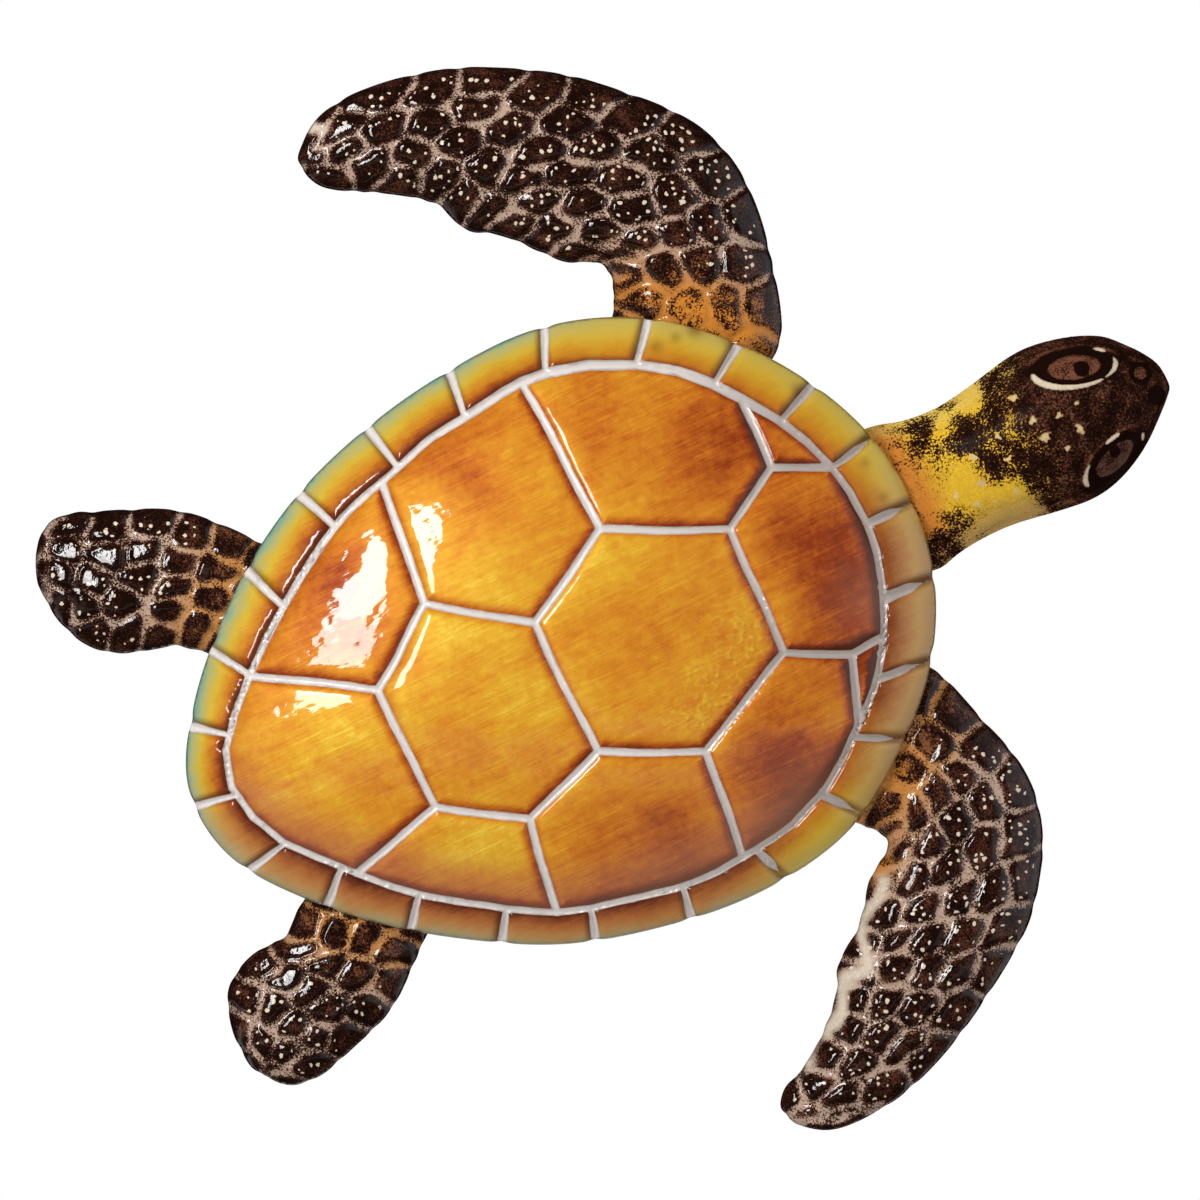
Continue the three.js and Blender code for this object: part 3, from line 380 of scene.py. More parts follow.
def inside(loop, plan):
    """Whether each plan point is inside a loop."""
    crossings = np.zeros(len(plan), int)
    for (x1, z1), (x2, z2) in zip(loop, np.roll(loop, -1, axis=0)):
        spans = (z1 > plan[:, 1]) != (z2 > plan[:, 1])
        if spans.any():
            crossings += spans & (plan[:, 0] < x1 + (plan[:, 1] - z1) / (z2 - z1) * (x2 - x1))
    return crossings % 2 == 1


def smooth_height(plan, known, heights, reach):
    """Height of a smooth surface through known points: a local curved fit at each plan point."""
    result = np.empty(len(plan))
    for block in np.array_split(np.arange(len(plan)), 1 + len(plan) // BLOCK):
        dx, dz = np.moveaxis((known - plan[block, None]) / reach, 2, 0)
        weight = np.exp(-(dx ** 2 + dz ** 2))
        terms = np.stack([np.ones_like(dx), dx, dz, dx * dx, dx * dz, dz * dz], axis=1)
        weighted = terms * weight[:, None]
        matrix = weighted @ terms.transpose(0, 2, 1) + 1e-7 * np.eye(6)
        result[block] = np.linalg.solve(matrix, weighted @ heights[:, None])[:, 0, 0]
    return result


def chain(follows):
    """The longest closed loop of things that follow one another."""
    loops = []
    while follows:
        loop = [next(iter(follows))]
        while loop[-1] in follows:
            loop.append(follows.pop(loop[-1]))
        loops.append(loop[:-1])
    return max(loops, key=len)


class CadSheet:
    """The front of a CAD sheet: plan points, heights, triangles, outline, seams and inner ring."""

    def __init__(self, node):
        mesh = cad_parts[node].data
        mesh.calc_loop_triangles()
        corners = np.array([vertex.co[:] for vertex in mesh.vertices]) / MM
        _, first, same = np.unique(
            np.round(corners / SAME_POINT), axis=0, return_index=True, return_inverse=True)
        points = corners[first]
        faces = same.ravel()[np.array([triangle.vertices[:] for triangle in mesh.loop_triangles])]
        a, b, c = (points[faces[:, corner]] for corner in range(3))
        normals = np.cross(b - a, c - a)
        normals /= np.maximum(np.linalg.norm(normals, axis=1, keepdims=True), 1e-9)
        front = normals[:, 1] < -FRONT_FACING
        self.points = points
        self.plan = points[:, [0, 2]]
        self.height = -points[:, 1]
        self.faces, self.normals = faces[front], normals[front]
        self.owner = {}
        for index, face in enumerate(self.faces.tolist()):
            for edge in zip(face, face[1:] + face[:1]):
                self.owner[edge] = index
        self.rim = [edge for edge in self.owner if edge[::-1] not in self.owner]
        self.outline = [start for start, _ in chain({edge: self.along_rim(edge) for edge in self.rim})]
        self.seams = [edge for edge in self.owner if self.is_seam(edge)]

    def along_rim(self, edge):
        """The rim edge that follows one, found by turning about the point between."""
        while True:
            face = self.faces[self.owner[edge]].tolist()
            onward = (edge[1], face[face.index(edge[1]) - 2])
            if onward[::-1] not in self.owner:
                return onward
            edge = onward[::-1]

    def is_seam(self, edge):
        """Whether an edge lies at the bottom of a valley."""
        if edge[::-1] not in self.owner:
            return False
        here, there = self.owner[edge], self.owner[edge[::-1]]
        if self.normals[here] @ self.normals[there] > math.cos(math.radians(SEAM_FOLD)):
            return False
        far = next(corner for corner in self.faces[there] if corner not in edge)
        return self.normals[here] @ (self.points[far] - self.points[edge[0]]) > 0

    def drop_stubs(self):
        """Leaves out the seams that end nowhere; each seam is listed once from either side."""
        rim = {corner for edge in self.rim for corner in edge}
        before = 0
        while before != len(self.seams):
            before = len(self.seams)
            meets = Counter(corner for edge in self.seams for corner in edge)
            self.seams = [
                edge for edge in self.seams if all(meets[end] > 2 or end in rim for end in edge)]

    def lines(self, edges):
        """Plan line pieces of some edges."""
        return self.plan[np.array(edges)]

    def ring(self):
        """Loop of seams between the cells that touch the rim and those that don't."""
        valleys = set(self.seams)
        touches = {self.owner[edge] for edge in self.rim}
        spreading = list(touches)
        while spreading:
            face = self.faces[spreading.pop()].tolist()
            for edge in zip(face, face[1:] + face[:1]):
                other = self.owner.get(edge[::-1])
                if other is not None and other not in touches and edge not in valleys:
                    touches.add(other)
                    spreading.append(other)
        outer = [edge for edge in self.seams if self.owner[edge[::-1]] in touches]
        return chain(dict(edge for edge in outer if self.owner[edge] not in touches))


def lattice(low, high, step):
    """Points in staggered rows over a box."""
    rows = np.arange(low[1], high[1], step * math.sqrt(3) / 2)
    columns = np.arange(low[0], high[0], step)
    x, z = np.meshgrid(columns, rows)
    x[1::2] += step / 2
    return np.stack([x.ravel(), z.ravel()], axis=1)


def fill_plan(sheet, step, open_areas=OPEN_AREAS):
    """Plan points and triangles inside the rounded outline, densest by the seams and the edge."""
    loop = np.array(sheet.outline)
    outline, sides = rounded(sheet.plan[loop], step)
    for _ in range(OUTLINE_ROUNDS):
        outline = (outline + (np.roll(outline, 1, axis=0) + np.roll(outline, -1, axis=0)) / 2) / 2
    seams = sheet.lines(sheet.seams) if sheet.seams else np.empty((0, 2, 2))
    if sheet.seams:
        outline = scalloped(outline, seams)
    low = sheet.height[loop] < FOOT + 1
    pieces = closed_lines(outline)
    sheet.edge, sheet.turned_down = pieces, pieces[(low & np.roll(low, -1))[sides]]
    edges = np.concatenate([pieces, seams])
    bands = [(0.5 * step, 1.0), *open_areas, (math.inf, 0)]
    fields = [outline, along_lines(seams, step)] if sheet.seams else [outline]
    for (start, times), (end, _) in zip(bands, bands[1:]):
        field = lattice(outline.min(axis=0), outline.max(axis=0), step * times)
        field = field[inside(outline, field)]
        off = distance_to(edges, field)
        fields.append(field[(off >= start) & (off < end)])
    points = [Vector(point) for point in np.concatenate(fields)]
    found = delaunay_2d_cdt(points, [], [list(range(len(outline)))], 0, 1e-4, False)
    plan, faces = np.array([point[:] for point in found[0]]), np.array(found[2])
    return plan, faces[inside(outline, plan[faces].mean(axis=1))]


def mesh_edges(faces):
    """Both ends of each side of each triangle."""
    return np.concatenate([faces[:, [0, 1]], faces[:, [1, 2]], faces[:, [2, 0]]])


def smoothed(values, faces, rounds, held=False):
    """Values evened out over the mesh, apart from those that are held."""
    edges = mesh_edges(faces)
    count = np.maximum(np.bincount(edges[:, 0], minlength=len(values)), 1)
    for _ in range(rounds):
        mean = np.bincount(edges[:, 0], values[edges[:, 1]], minlength=len(values)) / count
        values = np.where(held, values, (values + mean) / 2)
    return values


def new_object(name, data):
    """An object in the scene."""
    made = bpy.data.objects.new(name, data)
    bpy.context.collection.objects.link(made)
    return made


def mesh_object(name, points, faces, materials):
    """A mesh object in the scene."""
    mesh = bpy.data.meshes.new(name)
    mesh.from_pydata(points, [], faces)
    for material in materials:
        mesh.materials.append(material)
    return new_object(name, mesh)


def tube_faces(rings, sides, first=0):
    """Faces between rings of points."""
    faces = []
    for low in range(first, first + (rings - 1) * sides, sides):
        for side in range(sides):
            other = (side + 1) % sides
            faces.append((low + side, low + other, low + sides + other, low + sides + side))
    return faces


def sheet_object(name, plan, height, faces, marks, materials):
    """A pressed sheet, with paint marks on its points and a back behind its front."""
    points = np.stack([plan[:, 0], -height, plan[:, 1]], axis=1) * MM
    piece = mesh_object(name, points.tolist(), faces.tolist(), materials)
    piece.data.shade_smooth()
    for mark, values in marks.items():
        kind, field = "FLOAT", "value"
        if values.ndim == 2:
            kind, field = "FLOAT_COLOR", "color"
            values = np.column_stack([values, np.ones(len(values))])
        layer = piece.data.attributes.new(mark, kind, "POINT").data
        layer.foreach_set(field, values.astype(np.float32).ravel())
    thick = piece.modifiers.new("sheet", "SOLIDIFY")
    thick.thickness = SHEET * MM
    thick.offset = -1
    thick.material_offset = 1
    thick.material_offset_rim = 1
    return piece


def dress(piece, node):
    """Puts a piece in the place of its CAD node."""
    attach(piece, "root")
    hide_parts(node)


class Shader:
    """A material or the surroundings, and short calls for the nodes that paint it."""

    def __init__(self, owner, surface="Principled BSDF"):
        owner.use_nodes = True
        self.owner = owner
        self.tree = owner.node_tree
        self.surface = self.tree.nodes[surface]

    def feed(self, socket, value):
        """Links an output, or sets a plain number or colour."""
        if isinstance(value, bpy.types.NodeSocket):
            self.tree.links.new(value, socket)
        elif isinstance(value, tuple) and len(value) == 3 and socket.type == "RGBA":
            socket.default_value = (*value, 1)
        else:
            socket.default_value = value

    def node(self, kind, inputs=None, **settings):
        """Outputs of a new node with these settings and inputs."""
        made = self.tree.nodes.new("ShaderNode" + kind)
        for setting, value in settings.items():
            setattr(made, setting, value)
        for key, value in (inputs or {}).items():
            self.feed(made.inputs[key], value)
        return made.outputs

    def mark(self, name, colour=False):
        """A paint mark stored on the mesh."""
        return self.node("Attribute", attribute_name=name)["Color" if colour else "Fac"]

    def math(self, operation, *values):
        """A number worked out from others."""
        return self.node("Math", dict(enumerate(values)), operation=operation)[0]

    def vector(self, operation, inputs):
        """A vector worked out from others."""
        return self.node("VectorMath", inputs, operation=operation)[0]

    def length(self, vector):
        """Length of a vector."""
        return self.node("VectorMath", {0: vector}, operation="LENGTH")["Value"]

    def seen(self):
        """1 for what the camera, gloss or glass shows, and 0 for what only lights."""
        path = self.node("LightPath")
        seen = self.math("MAXIMUM", path["Is Camera Ray"], path["Is Glossy Ray"])
        return self.math("MAXIMUM", seen, path["Is Transmission Ray"])

    def place(self, turn=0.0, scale=(1.0, 1.0, 1.0)):
        """Place on the object in metres, turned in the plan and then stretched."""
        start = self.node("TexCoord")["Object"]
        turned = self.node("Mapping", {"Vector": start, "Rotation": (0, math.radians(turn), 0)})
        return self.node("Mapping", {"Vector": turned[0], "Scale": scale})[0]

    def plan(self):
        """Place in the plan, X and Z, in metres."""
        start = self.node("SeparateXYZ", {"Vector": self.place()})
        return self.node("CombineXYZ", {"X": start["X"], "Y": start["Z"]})[0]

    def noise(self, place, scale, detail, roughness):
        """Cloudy noise with about that many lumps to a metre."""
        inputs = {"Vector": place, "Scale": scale, "Detail": detail, "Roughness": roughness}
        return self.node("TexNoise", inputs)["Fac"]

    def lumps(self, size, detail=2.0, roughness=0.5):
        """Noise with lumps of about a size in metres."""
        return self.noise(self.place(), 1 / size, detail, roughness)

    def strokes(self, turn, scale, detail, roughness=0.5):
        """Noise drawn out into brush strokes."""
        return self.noise(self.place(turn, scale), 1.0, detail, roughness)

    def vary(self, value, noise, amount):
        """A value with noise added about its mean."""
        return self.math("MULTIPLY_ADD", noise, amount, self.math("ADD", value, -amount / 2))

    def wear(self, value, noises, amounts):
        """A value varied by several noises, each by its own amount."""
        for name, amount in amounts.items():
            value = self.vary(value, noises[name], amount)
        return value

    def step(self, value, low, high, start=0.0, end=1.0):
        """Smooth step from start at low to end at high."""
        inputs = {"Value": value, "From Min": low, "From Max": high, "To Min": start, "To Max": end}
        return self.node("MapRange", inputs, interpolation_type="SMOOTHSTEP")[0]

    def mix(self, share, first, second):
        """Colour between two."""
        return self.node("Mix", {0: share, 6: first, 7: second}, data_type="RGBA")[2]

    def ramp(self, value, stops):
        """Colour along a row of stops."""
        colour_out = self.node("ValToRGB", {"Fac": value})["Color"]
        elements = colour_out.node.color_ramp.elements
        while len(elements) < len(stops):
            elements.new(0.5)
        for element, (position, colour) in zip(elements, stops):
            element.position = position
            element.color = (*colour, 1)
        return colour_out

    def bump(self, height, strength, depth, normal=None):
        """Bump of a depth in metres."""
        inputs = {"Height": height, "Strength": strength, "Distance": depth}
        if normal is not None:
            inputs["Normal"] = normal
        return self.node("Bump", inputs)[0]

    def finish(self, **inputs):
        """Sets the surface's sockets, named with underscores for spaces."""
        for name, value in inputs.items():
            self.feed(self.surface.inputs[name.replace("_", " ")], value)
        return self.owner


def new_paint(name):
    """Shader of a new material."""
    return Shader(bpy.data.materials.new(name))


def shell_paint():
    """Amber lacquer brushed over metal, white seams and a margin from dark inside to teal or tan."""
    shader = new_paint("shell_lacquer")
    noises = {
        "streaks": shader.strokes(STREAK_TURN, STREAKS, 4.0, 0.7),
        "coarse": shader.strokes(STREAK_TURN - 4, COARSE, 4.0, 0.7),
        "clouds": shader.lumps(CLOUD_SIZE, 5.0, 0.65),
        "mottle": shader.lumps(MOTTLE_SIZE, 4.0, 0.7),
    }
    bubbles = shader.step(shader.lumps(BUBBLE_SIZE, 0.0), 0.46, 0.72)
    bubbled = shader.math("MULTIPLY", bubbles, shader.mark("ripples"))
    scratches = shader.step(shader.strokes(STREAK_TURN - 3, SCRATCHES, 2.0), 0.60, 0.68)
    brushed = shader.wear(shader.mark("tone"), noises, LACQUER_WEAR)
    brushed = shader.math("MULTIPLY_ADD", scratches, 0.07, brushed)
    lacquer = shader.ramp(shader.math("MULTIPLY_ADD", bubbled, 0.14, brushed), LACQUER)
    # Painted reflection: a mauve veil over the lower and right-hand scutes
    lacquer = shader.mix(shader.mark("haze_reflection"), lacquer, HAZE_REFLECTION)
    worn = shader.wear(shader.mark("rim_share"), noises, MARGIN_WEAR)
    side = shader.ramp(worn, MARGIN_TEAL)
    for mark, stops in (("sun_side", MARGIN_SUN), ("tan_side", MARGIN_TAN), ("rust_side", MARGIN_RUST)):
        side = shader.mix(shader.mark(mark), side, shader.ramp(worn, stops))
    # Painted shade in the margin's creases, with the dark spots
    side = shader.mix(shader.mark("crease_shade"), side, MARGIN_CREASE_SHADE)
    painted = shader.mix(shader.mark("margin"), lacquer, side)
    wobble = shader.vary(shader.mark("seam_line"), shader.lumps(0.006), 0.4)
    white = shader.step(wobble, 0.90, 1.08, 1.0, 0.0)
    stroke = shader.vary(wobble, shader.lumps(0.004, 3.0), 1.0)
    # The white seam greys towards the edges of the line in noisy strokes: painted shade of the groove's
    # walls
    seam_colour = shader.mix(shader.step(stroke, 0.45, 1.0), SEAM_WHITE, SEAM_GREY)
    seam_colour = shader.mix(shader.mark("seam_shade"), seam_colour, SEAM_SHADED)
    gloss = shader.bump(shader.lumps(WAVE_SIZE), 0.4, 0.0014)
    gloss = shader.bump(shader.strokes(STREAK_TURN, DABS, 2.0, 0.6), 0.22, 0.0003, gloss)
    gloss = shader.bump(bubbled, 0.6, 0.0006, gloss)
    normal = shader.bump(noises["streaks"], 0.3, 0.0004, gloss)
    return shader.finish(
        Base_Color=shader.mix(white, painted, seam_colour), Metallic=0.1, Roughness=0.4, Normal=normal,
        Specular_IOR_Level=0.1, Coat_Weight=1.0, Coat_Roughness=0.05, Coat_IOR=1.5, Coat_Normal=gloss)


def cream_dots(shader):
    """Round dots of uneven sizes, on the places where dots are wanted."""
    plan = shader.plan()
    bend = shader.node("TexNoise", {"Vector": plan, "Scale": DOT_BENDS})["Color"]
    bend = shader.vector("SUBTRACT", {0: bend, 1: (0.5, 0.5, 0.5)})
    bend = shader.vector("SCALE", {0: bend, "Scale": DOT_BEND})
    bent = shader.vector("ADD", {0: bend, 1: plan})
    inputs = {"Vector": bent, "Scale": 1 / DOT_SPACING, "Randomness": 0.9}
    drops = shader.node("TexVoronoi", inputs, voronoi_dimensions="2D")
    chance = shader.node("SeparateColor", {"Color": drops["Color"]})
    radius = shader.math("MULTIPLY_ADD", chance["Green"], DOT_SPREAD, DOT_RADIUS)
    drop = shader.step(shader.math("SUBTRACT", drops["Distance"], radius), -0.04, 0.03, 1.0, 0.0)
    drop = shader.math("MULTIPLY", drop, shader.math("LESS_THAN", chance["Red"], DOT_SHARE))
    return shader.math("MULTIPLY", drop, shader.step(shader.mark("dots"), 0.45, 0.6))


def sponged_paint(name, grain_size, coat, coat_roughness):
    """Enamel sponged dark over a pale ground, with cream dots, under a clear coat."""
    shader = new_paint(name)
    grain = shader.lumps(grain_size, 3.0, 0.65)
    cloud = shader.lumps(SPONGE_CLOUD_SIZE)
    over = shader.math("SUBTRACT", shader.vary(shader.mark("pressure"), cloud, 0.55), grain)
    pale = shader.mix(shader.step(cloud, 0.35, 0.7, 0.0, 0.15), shader.mark("ground", True), RED_BROWN)
    pale = shader.mix(shader.step(grain, 0.45, 0.65, 0.25, 0.0), pale, ROOT_BROWN)
    sponged = shader.mix(shader.step(over, 0.0, 0.2), RED_BROWN, DARK_BROWN)
    colour = shader.mix(shader.step(over, -0.03, 0.03), pale, sponged)
    drop = cream_dots(shader)
    lumps = shader.lumps(LUMP_SIZE, 3.0, 0.6)
    gloss = shader.bump(lumps, 0.35, 0.0008)
    normal = shader.bump(drop, 0.5, 0.0003, shader.bump(lumps, 0.4, 0.0008, gloss))
    return shader.finish(
        Base_Color=shader.mix(drop, colour, CREAM), Metallic=0.0, Roughness=0.5, Normal=normal,
        Specular_IOR_Level=0.0, Coat_Weight=coat, Coat_Roughness=coat_roughness, Coat_IOR=1.5,
        Coat_Normal=gloss)


def plain_metal(name, colour, dark, size, roughness, metallic):
    """Dull sheet or weld metal with blotches and fine scratches."""
    shader = new_paint(name)
    blotch = shader.lumps(size, 4.0, 0.6)
    scratch = shader.strokes(METAL_TURN, METAL_SCRATCHES, 3.0, 0.6)
    tone = shader.math("MULTIPLY_ADD", scratch, 0.4, shader.math("MULTIPLY", blotch, 0.6))
    return shader.finish(
        Base_Color=shader.mix(shader.step(tone, 0.3, 0.7), dark, colour), Metallic=metallic,
        Roughness=shader.step(tone, 0.2, 0.8, roughness - 0.1, roughness + 0.12),
        Normal=shader.bump(tone, 0.25, 0.0002))


def seam_lines(sheet, plan, bent, slid, ring, to_ring, rim_share):
    """Distance to the painted seams, 1 at the edge of a line: even inside the ring, wedges outside."""
    middles = sheet.lines(sheet.seams).mean(axis=1)
    off_ring = distance_to(closed_lines(ring), middles) > ON_RING
    within = inside(ring, middles)
    edges = np.array(sheet.seams)
    scutes = distance_to(sheet.lines(edges[off_ring & within]), bent) / SCUTE_LINE
    around = to_ring / (RING_LINE + RING_LINE_TOP * ease(plan[:, 1], *TOP_OF_RING))
    right = ease(plan[:, 0] - SHORT_LEAN * np.minimum(plan[:, 1] - SHORT_LEAN_FROM, 0), *SHORT_WEDGES)
    left_wedge = WEDGE_OUTER + (WEDGE_INNER - WEDGE_OUTER) * rim_share
    right_wedge = np.maximum(WEDGE_OUTER * ease(rim_share, *SHORT_WEDGE), LEAST_WEDGE)
    wedge = left_wedge * (1 - right) + right_wedge * right
    marginals = distance_to(sheet.lines(edges[off_ring & ~within]), slid) / wedge
    return np.minimum(np.minimum(scutes, around), marginals)


def slid_along(ring_lines, bent, scute, rim_share):
    """The plan moved along the ring outside it, which puts the marginal seams in their places."""
    out = from_nearest(ring_lines, bent)
    length = np.maximum(np.linalg.norm(out, axis=1, keepdims=True), LEAST_AWAY)
    around = np.stack([-out[:, 1], out[:, 0]], axis=1) / length
    share = SLIDE_AT_RIM + (1 - SLIDE_AT_RIM) * rim_share
    amount = np.where(scute, 0, patches(bent, TICK_SLIDES)) * share
    return bent - around * amount[:, None]


def by_seams(seam, shadow_side, strength, reach):
    """Strength of the darkening beside the seams, painted shade and pooled lacquer, more and wider on
    the shadow side.
    """
    return (strength[0] + strength[1] * shadow_side) * ease(seam, reach[0] + reach[1] * shadow_side, LINE_EDGE)


def make_shell(paint, back):
    """The carapace: a smooth dome with pillowed scutes inside the ring and marginals outside it."""
    sheet = CadSheet("carapace")
    sheet.drop_stubs()
    plan, faces = fill_plan(sheet, SHELL_STEP)
    bent = wavering(plan, *SHELL_WAVER)
    seams = sheet.lines(sheet.seams)
    ring = sheet.plan[sheet.ring()]
    ring_lines = closed_lines(ring)
    known = np.unique(np.array(sheet.seams + sheet.rim))
    base = smooth_height(plan, sheet.plan[known], sheet.height[known], SHELL_REACH)
    rim, to_ring = distance_to(sheet.edge, plan), distance_to(ring_lines, bent)
    scute = inside(ring, bent)
    rim_share = np.where(scute, 1.0, rim / np.maximum(rim + to_ring, ON_RING))
    slid = slid_along(ring_lines, bent, scute, rim_share)
    off_seam = from_nearest(seams, slid)
    seam = np.linalg.norm(off_seam, axis=1)
    # How far each point lies on the shadow side of its seam, where painted shade goes
    shadow_side = 0.5 - 0.5 * (off_seam @ SHADOW_SIDE) / np.maximum(seam, LEAST_AWAY)
    wall = np.maximum(seam - GROOVE_FLOOR, 0)
    crown = smoothed(shoulder(seam / SCUTE_SPREAD), faces, CROWN_ROUNDS, seam < SEAM_HELD)
    pillow = SCUTE_RISE * shoulder(wall / SCUTE_SHOULDER) + SCUTE_CROWN * crown
    roll = MARGIN_RISE * shoulder(wall / MARGIN_SHOULDER) * shoulder(rim / MARGIN_ROLL)
    height = base + np.where(scute, pillow, roll)
    x, z = plan.T
    low = ease(z, *LOW_PART)
    dim = LOW_SHADE * low * ease(to_ring, *LOW_SHADE_REACH)
    # Painted reflection of the pale floor, low down
    reflected = LOW_HAZE_REFLECTION * low * ease(to_ring, *LOW_REFLECTION_REACH)
    marks = {
        "seam_line": seam_lines(sheet, plan, bent, slid, ring, to_ring, rim_share),
        "seam_shade": SHADE_MOST * ease(x, *SHADE_SIDE),
        "margin": np.where(scute, 0.0, 1.0),
        "rim_share": rim_share,
        # Painted shade beside the margin's seams, with dark spots added
        "crease_shade": by_seams(seam, shadow_side, CREASE_SHADE, CREASE_SHADE_REACH) + patches(bent, DARK_SPOTS),
        # Lacquer tone: darker beside the seams with pooled lacquer and painted shade, and dimmed low
        # down with painted shade
        "tone": SHELL_TONE - by_seams(seam, shadow_side, POOL_AND_SHADE, POOL_AND_SHADE_REACH) - dim + patches(plan, SHELL_PATCHES),
        # Painted reflection of the pale floor and the dim room
        "haze_reflection": np.clip(reflected + patches(plan, HAZE_REFLECTIONS), 0, REFLECTION_MOST),
        "sun_side": ease(x, *SUN_LEFT),
        "tan_side": ease(x, *TAN_RIGHT) * ease(z, *TAN_BELOW),
        "rust_side": ease(x, *RUST_RIGHT) * ease(z, *RUST_BELOW),
        "ripples": patches(plan, RIPPLES),
    }
    piece = sheet_object("turtle_shell", plan, height, faces, marks, [paint, back])
    dress(piece, "carapace")
    return sheet


class ShellRim:
    """Where the shell's rim is, for the pieces that are tucked under it."""

    def __init__(self, shell):
        self.loop = shell.plan[shell.outline]
        self.lines = shell.lines(shell.rim)
        self.height = shell.height[shell.outline].min() - SHEET - SEAT_GAP

    def outside(self, plan):
        """Distance outside the rim, negative under the shell."""
        away = distance_to(self.lines, plan)
        return np.where(inside(self.loop, plan), -away, away)

    def limit(self, plan):
        """Highest that a piece can be and still pass under the rim."""
        return self.height + RUN_OUT_SLOPE * np.maximum(self.outside(plan) - RUN_OUT, 0)


def blend(first, second, share):
    """Colour between two at each point."""
    share = np.asarray(share)[:, None]
    return np.asarray(first) * (1 - share) + np.asarray(second) * share


def pale_edge(path, plan):
    """Where a flipper is bare of the dark paint, along a path near its edge."""
    if not path:
        return np.zeros(len(plan))
    lines = np.array(list(zip(path, path[1:])), float)
    return ease(distance_to(lines, wavering(plan, *PALE_WAVER)), *PALE_EDGE)


def scale_numbers(faces, within):
    """The same number for all the points of one scale."""
    ends = mesh_edges(faces)
    ends = ends[within[ends].all(axis=1)]
    number = np.arange(len(within))
    while np.ptp(number[ends], axis=1).any():
        least = number[ends].min(axis=1)
        for side in (0, 1):
            np.minimum.at(number, ends[:, side], least)
    return number


def lean_scales(plan, raised, number, seam, share):
    """Heights with the tops of the chosen scales leaning one way."""
    count = np.maximum(np.bincount(number), 1)
    x, z, level, chosen = (np.bincount(number, each) / count for each in (*plan.T, raised, share))
    off = plan - np.stack([x, z], axis=1)[number]
    leaning = level[number] - GLINT_SLOPE * (off @ GLINT_WAY) - GLINT_ROUND * (off ** 2).sum(axis=1)
    part = np.clip(chosen[number], 0, 1) * ease(seam, *SCALE_TOP)
    return raised * (1 - part) + leaning * part


def make_flipper(node, rim, paint, back):
    """A flipper: an arched sheet with turned-down edges and raised scales, sponged dark."""
    sheet = CadSheet(node)
    plan, faces = fill_plan(sheet, LIMB_STEP)
    known = np.unique(np.array(sheet.seams))
    base = smooth_height(plan, sheet.plan[known], sheet.height[known], LIMB_REACH)
    base = np.clip(base, sheet.height[known].min(), sheet.height[known].max())
    seam = distance_to(sheet.lines(sheet.seams), wavering(plan, *LIMB_WAVER))
    seam = np.maximum(smoothed(seam, faces, SCALE_ROUNDS) - SEAM_LIFT, 0)
    edge = distance_to(sheet.turned_down, plan)
    own = FLIPPERS[node]
    bare = pale_edge(own.get("pale"), plan)
    dome = 1 - (1 - np.clip(seam / SCALE_DOME, 0, 1)) ** 2
    raised = base + SCALE_RISE * (1 - BARE_FLATTENS * bare) * dome
    number = scale_numbers(faces, seam > SCALE_TOP[0])
    raised = lean_scales(plan, raised, number, seam, patches(plan, own["glints"]))
    raised = np.minimum(raised, rim.limit(plan))
    height = FOOT + (raised - FOOT) * shoulder(edge / EDGE_ROUND)
    root = rim.outside(plan)
    warm = ease(root, *ROOT_WARMTH)
    glow = np.clip(patches(plan, own.get("glows", [])), 0, 1)
    line = blend(blend(blend(LINE_CREAM, ROOT_ORANGE, warm), GLOW_ORANGE, glow), PALE_CREAM, bare)
    scale = blend(blend(SCALE_BROWN, ROOT_BROWN, ROOT_BROWNED * warm), GLOW_ORANGE, glow)
    # Painted shade: a dark ring along each scale's shoulder
    crease_shade = np.exp(-((seam - CREASE_SHADE_AT) / CREASE_SHADE_WIDTH) ** 2)
    sponge = SPONGE_LINE + (SPONGE_SCALE - SPONGE_LINE) * ease(seam, *SPONGE_RISE)
    sponge += SPONGE_CREASE_SHADE * crease_shade + own["sponge"] + patches(plan, own.get("darks", []))
    marks = {
        "ground": blend(line, scale, ease(seam, *SCALE_GROUND) * (1 - bare)),
        "pressure": sponge - WARM_THINS * warm - BARE_THINS * bare - GLOW_THINS * glow,
        "dots": ease(seam, *DOTS_OFF_SEAM) * ease(root, *DOTS_OFF_ROOT) * ease(edge, *DOTS_OFF_EDGE),
    }
    piece = sheet_object(f"turtle_{node}", plan, height, faces, marks, [paint, back])
    dress(piece, node)


def oval(plan, middle, radii, turn):
    """Place along and across an oval, in its radii."""
    angle = math.radians(turn)
    x, z = (plan - middle).T
    along = (x * math.cos(angle) + z * math.sin(angle)) / radii[0]
    across = (z * math.cos(angle) - x * math.sin(angle)) / radii[1]
    return along, across


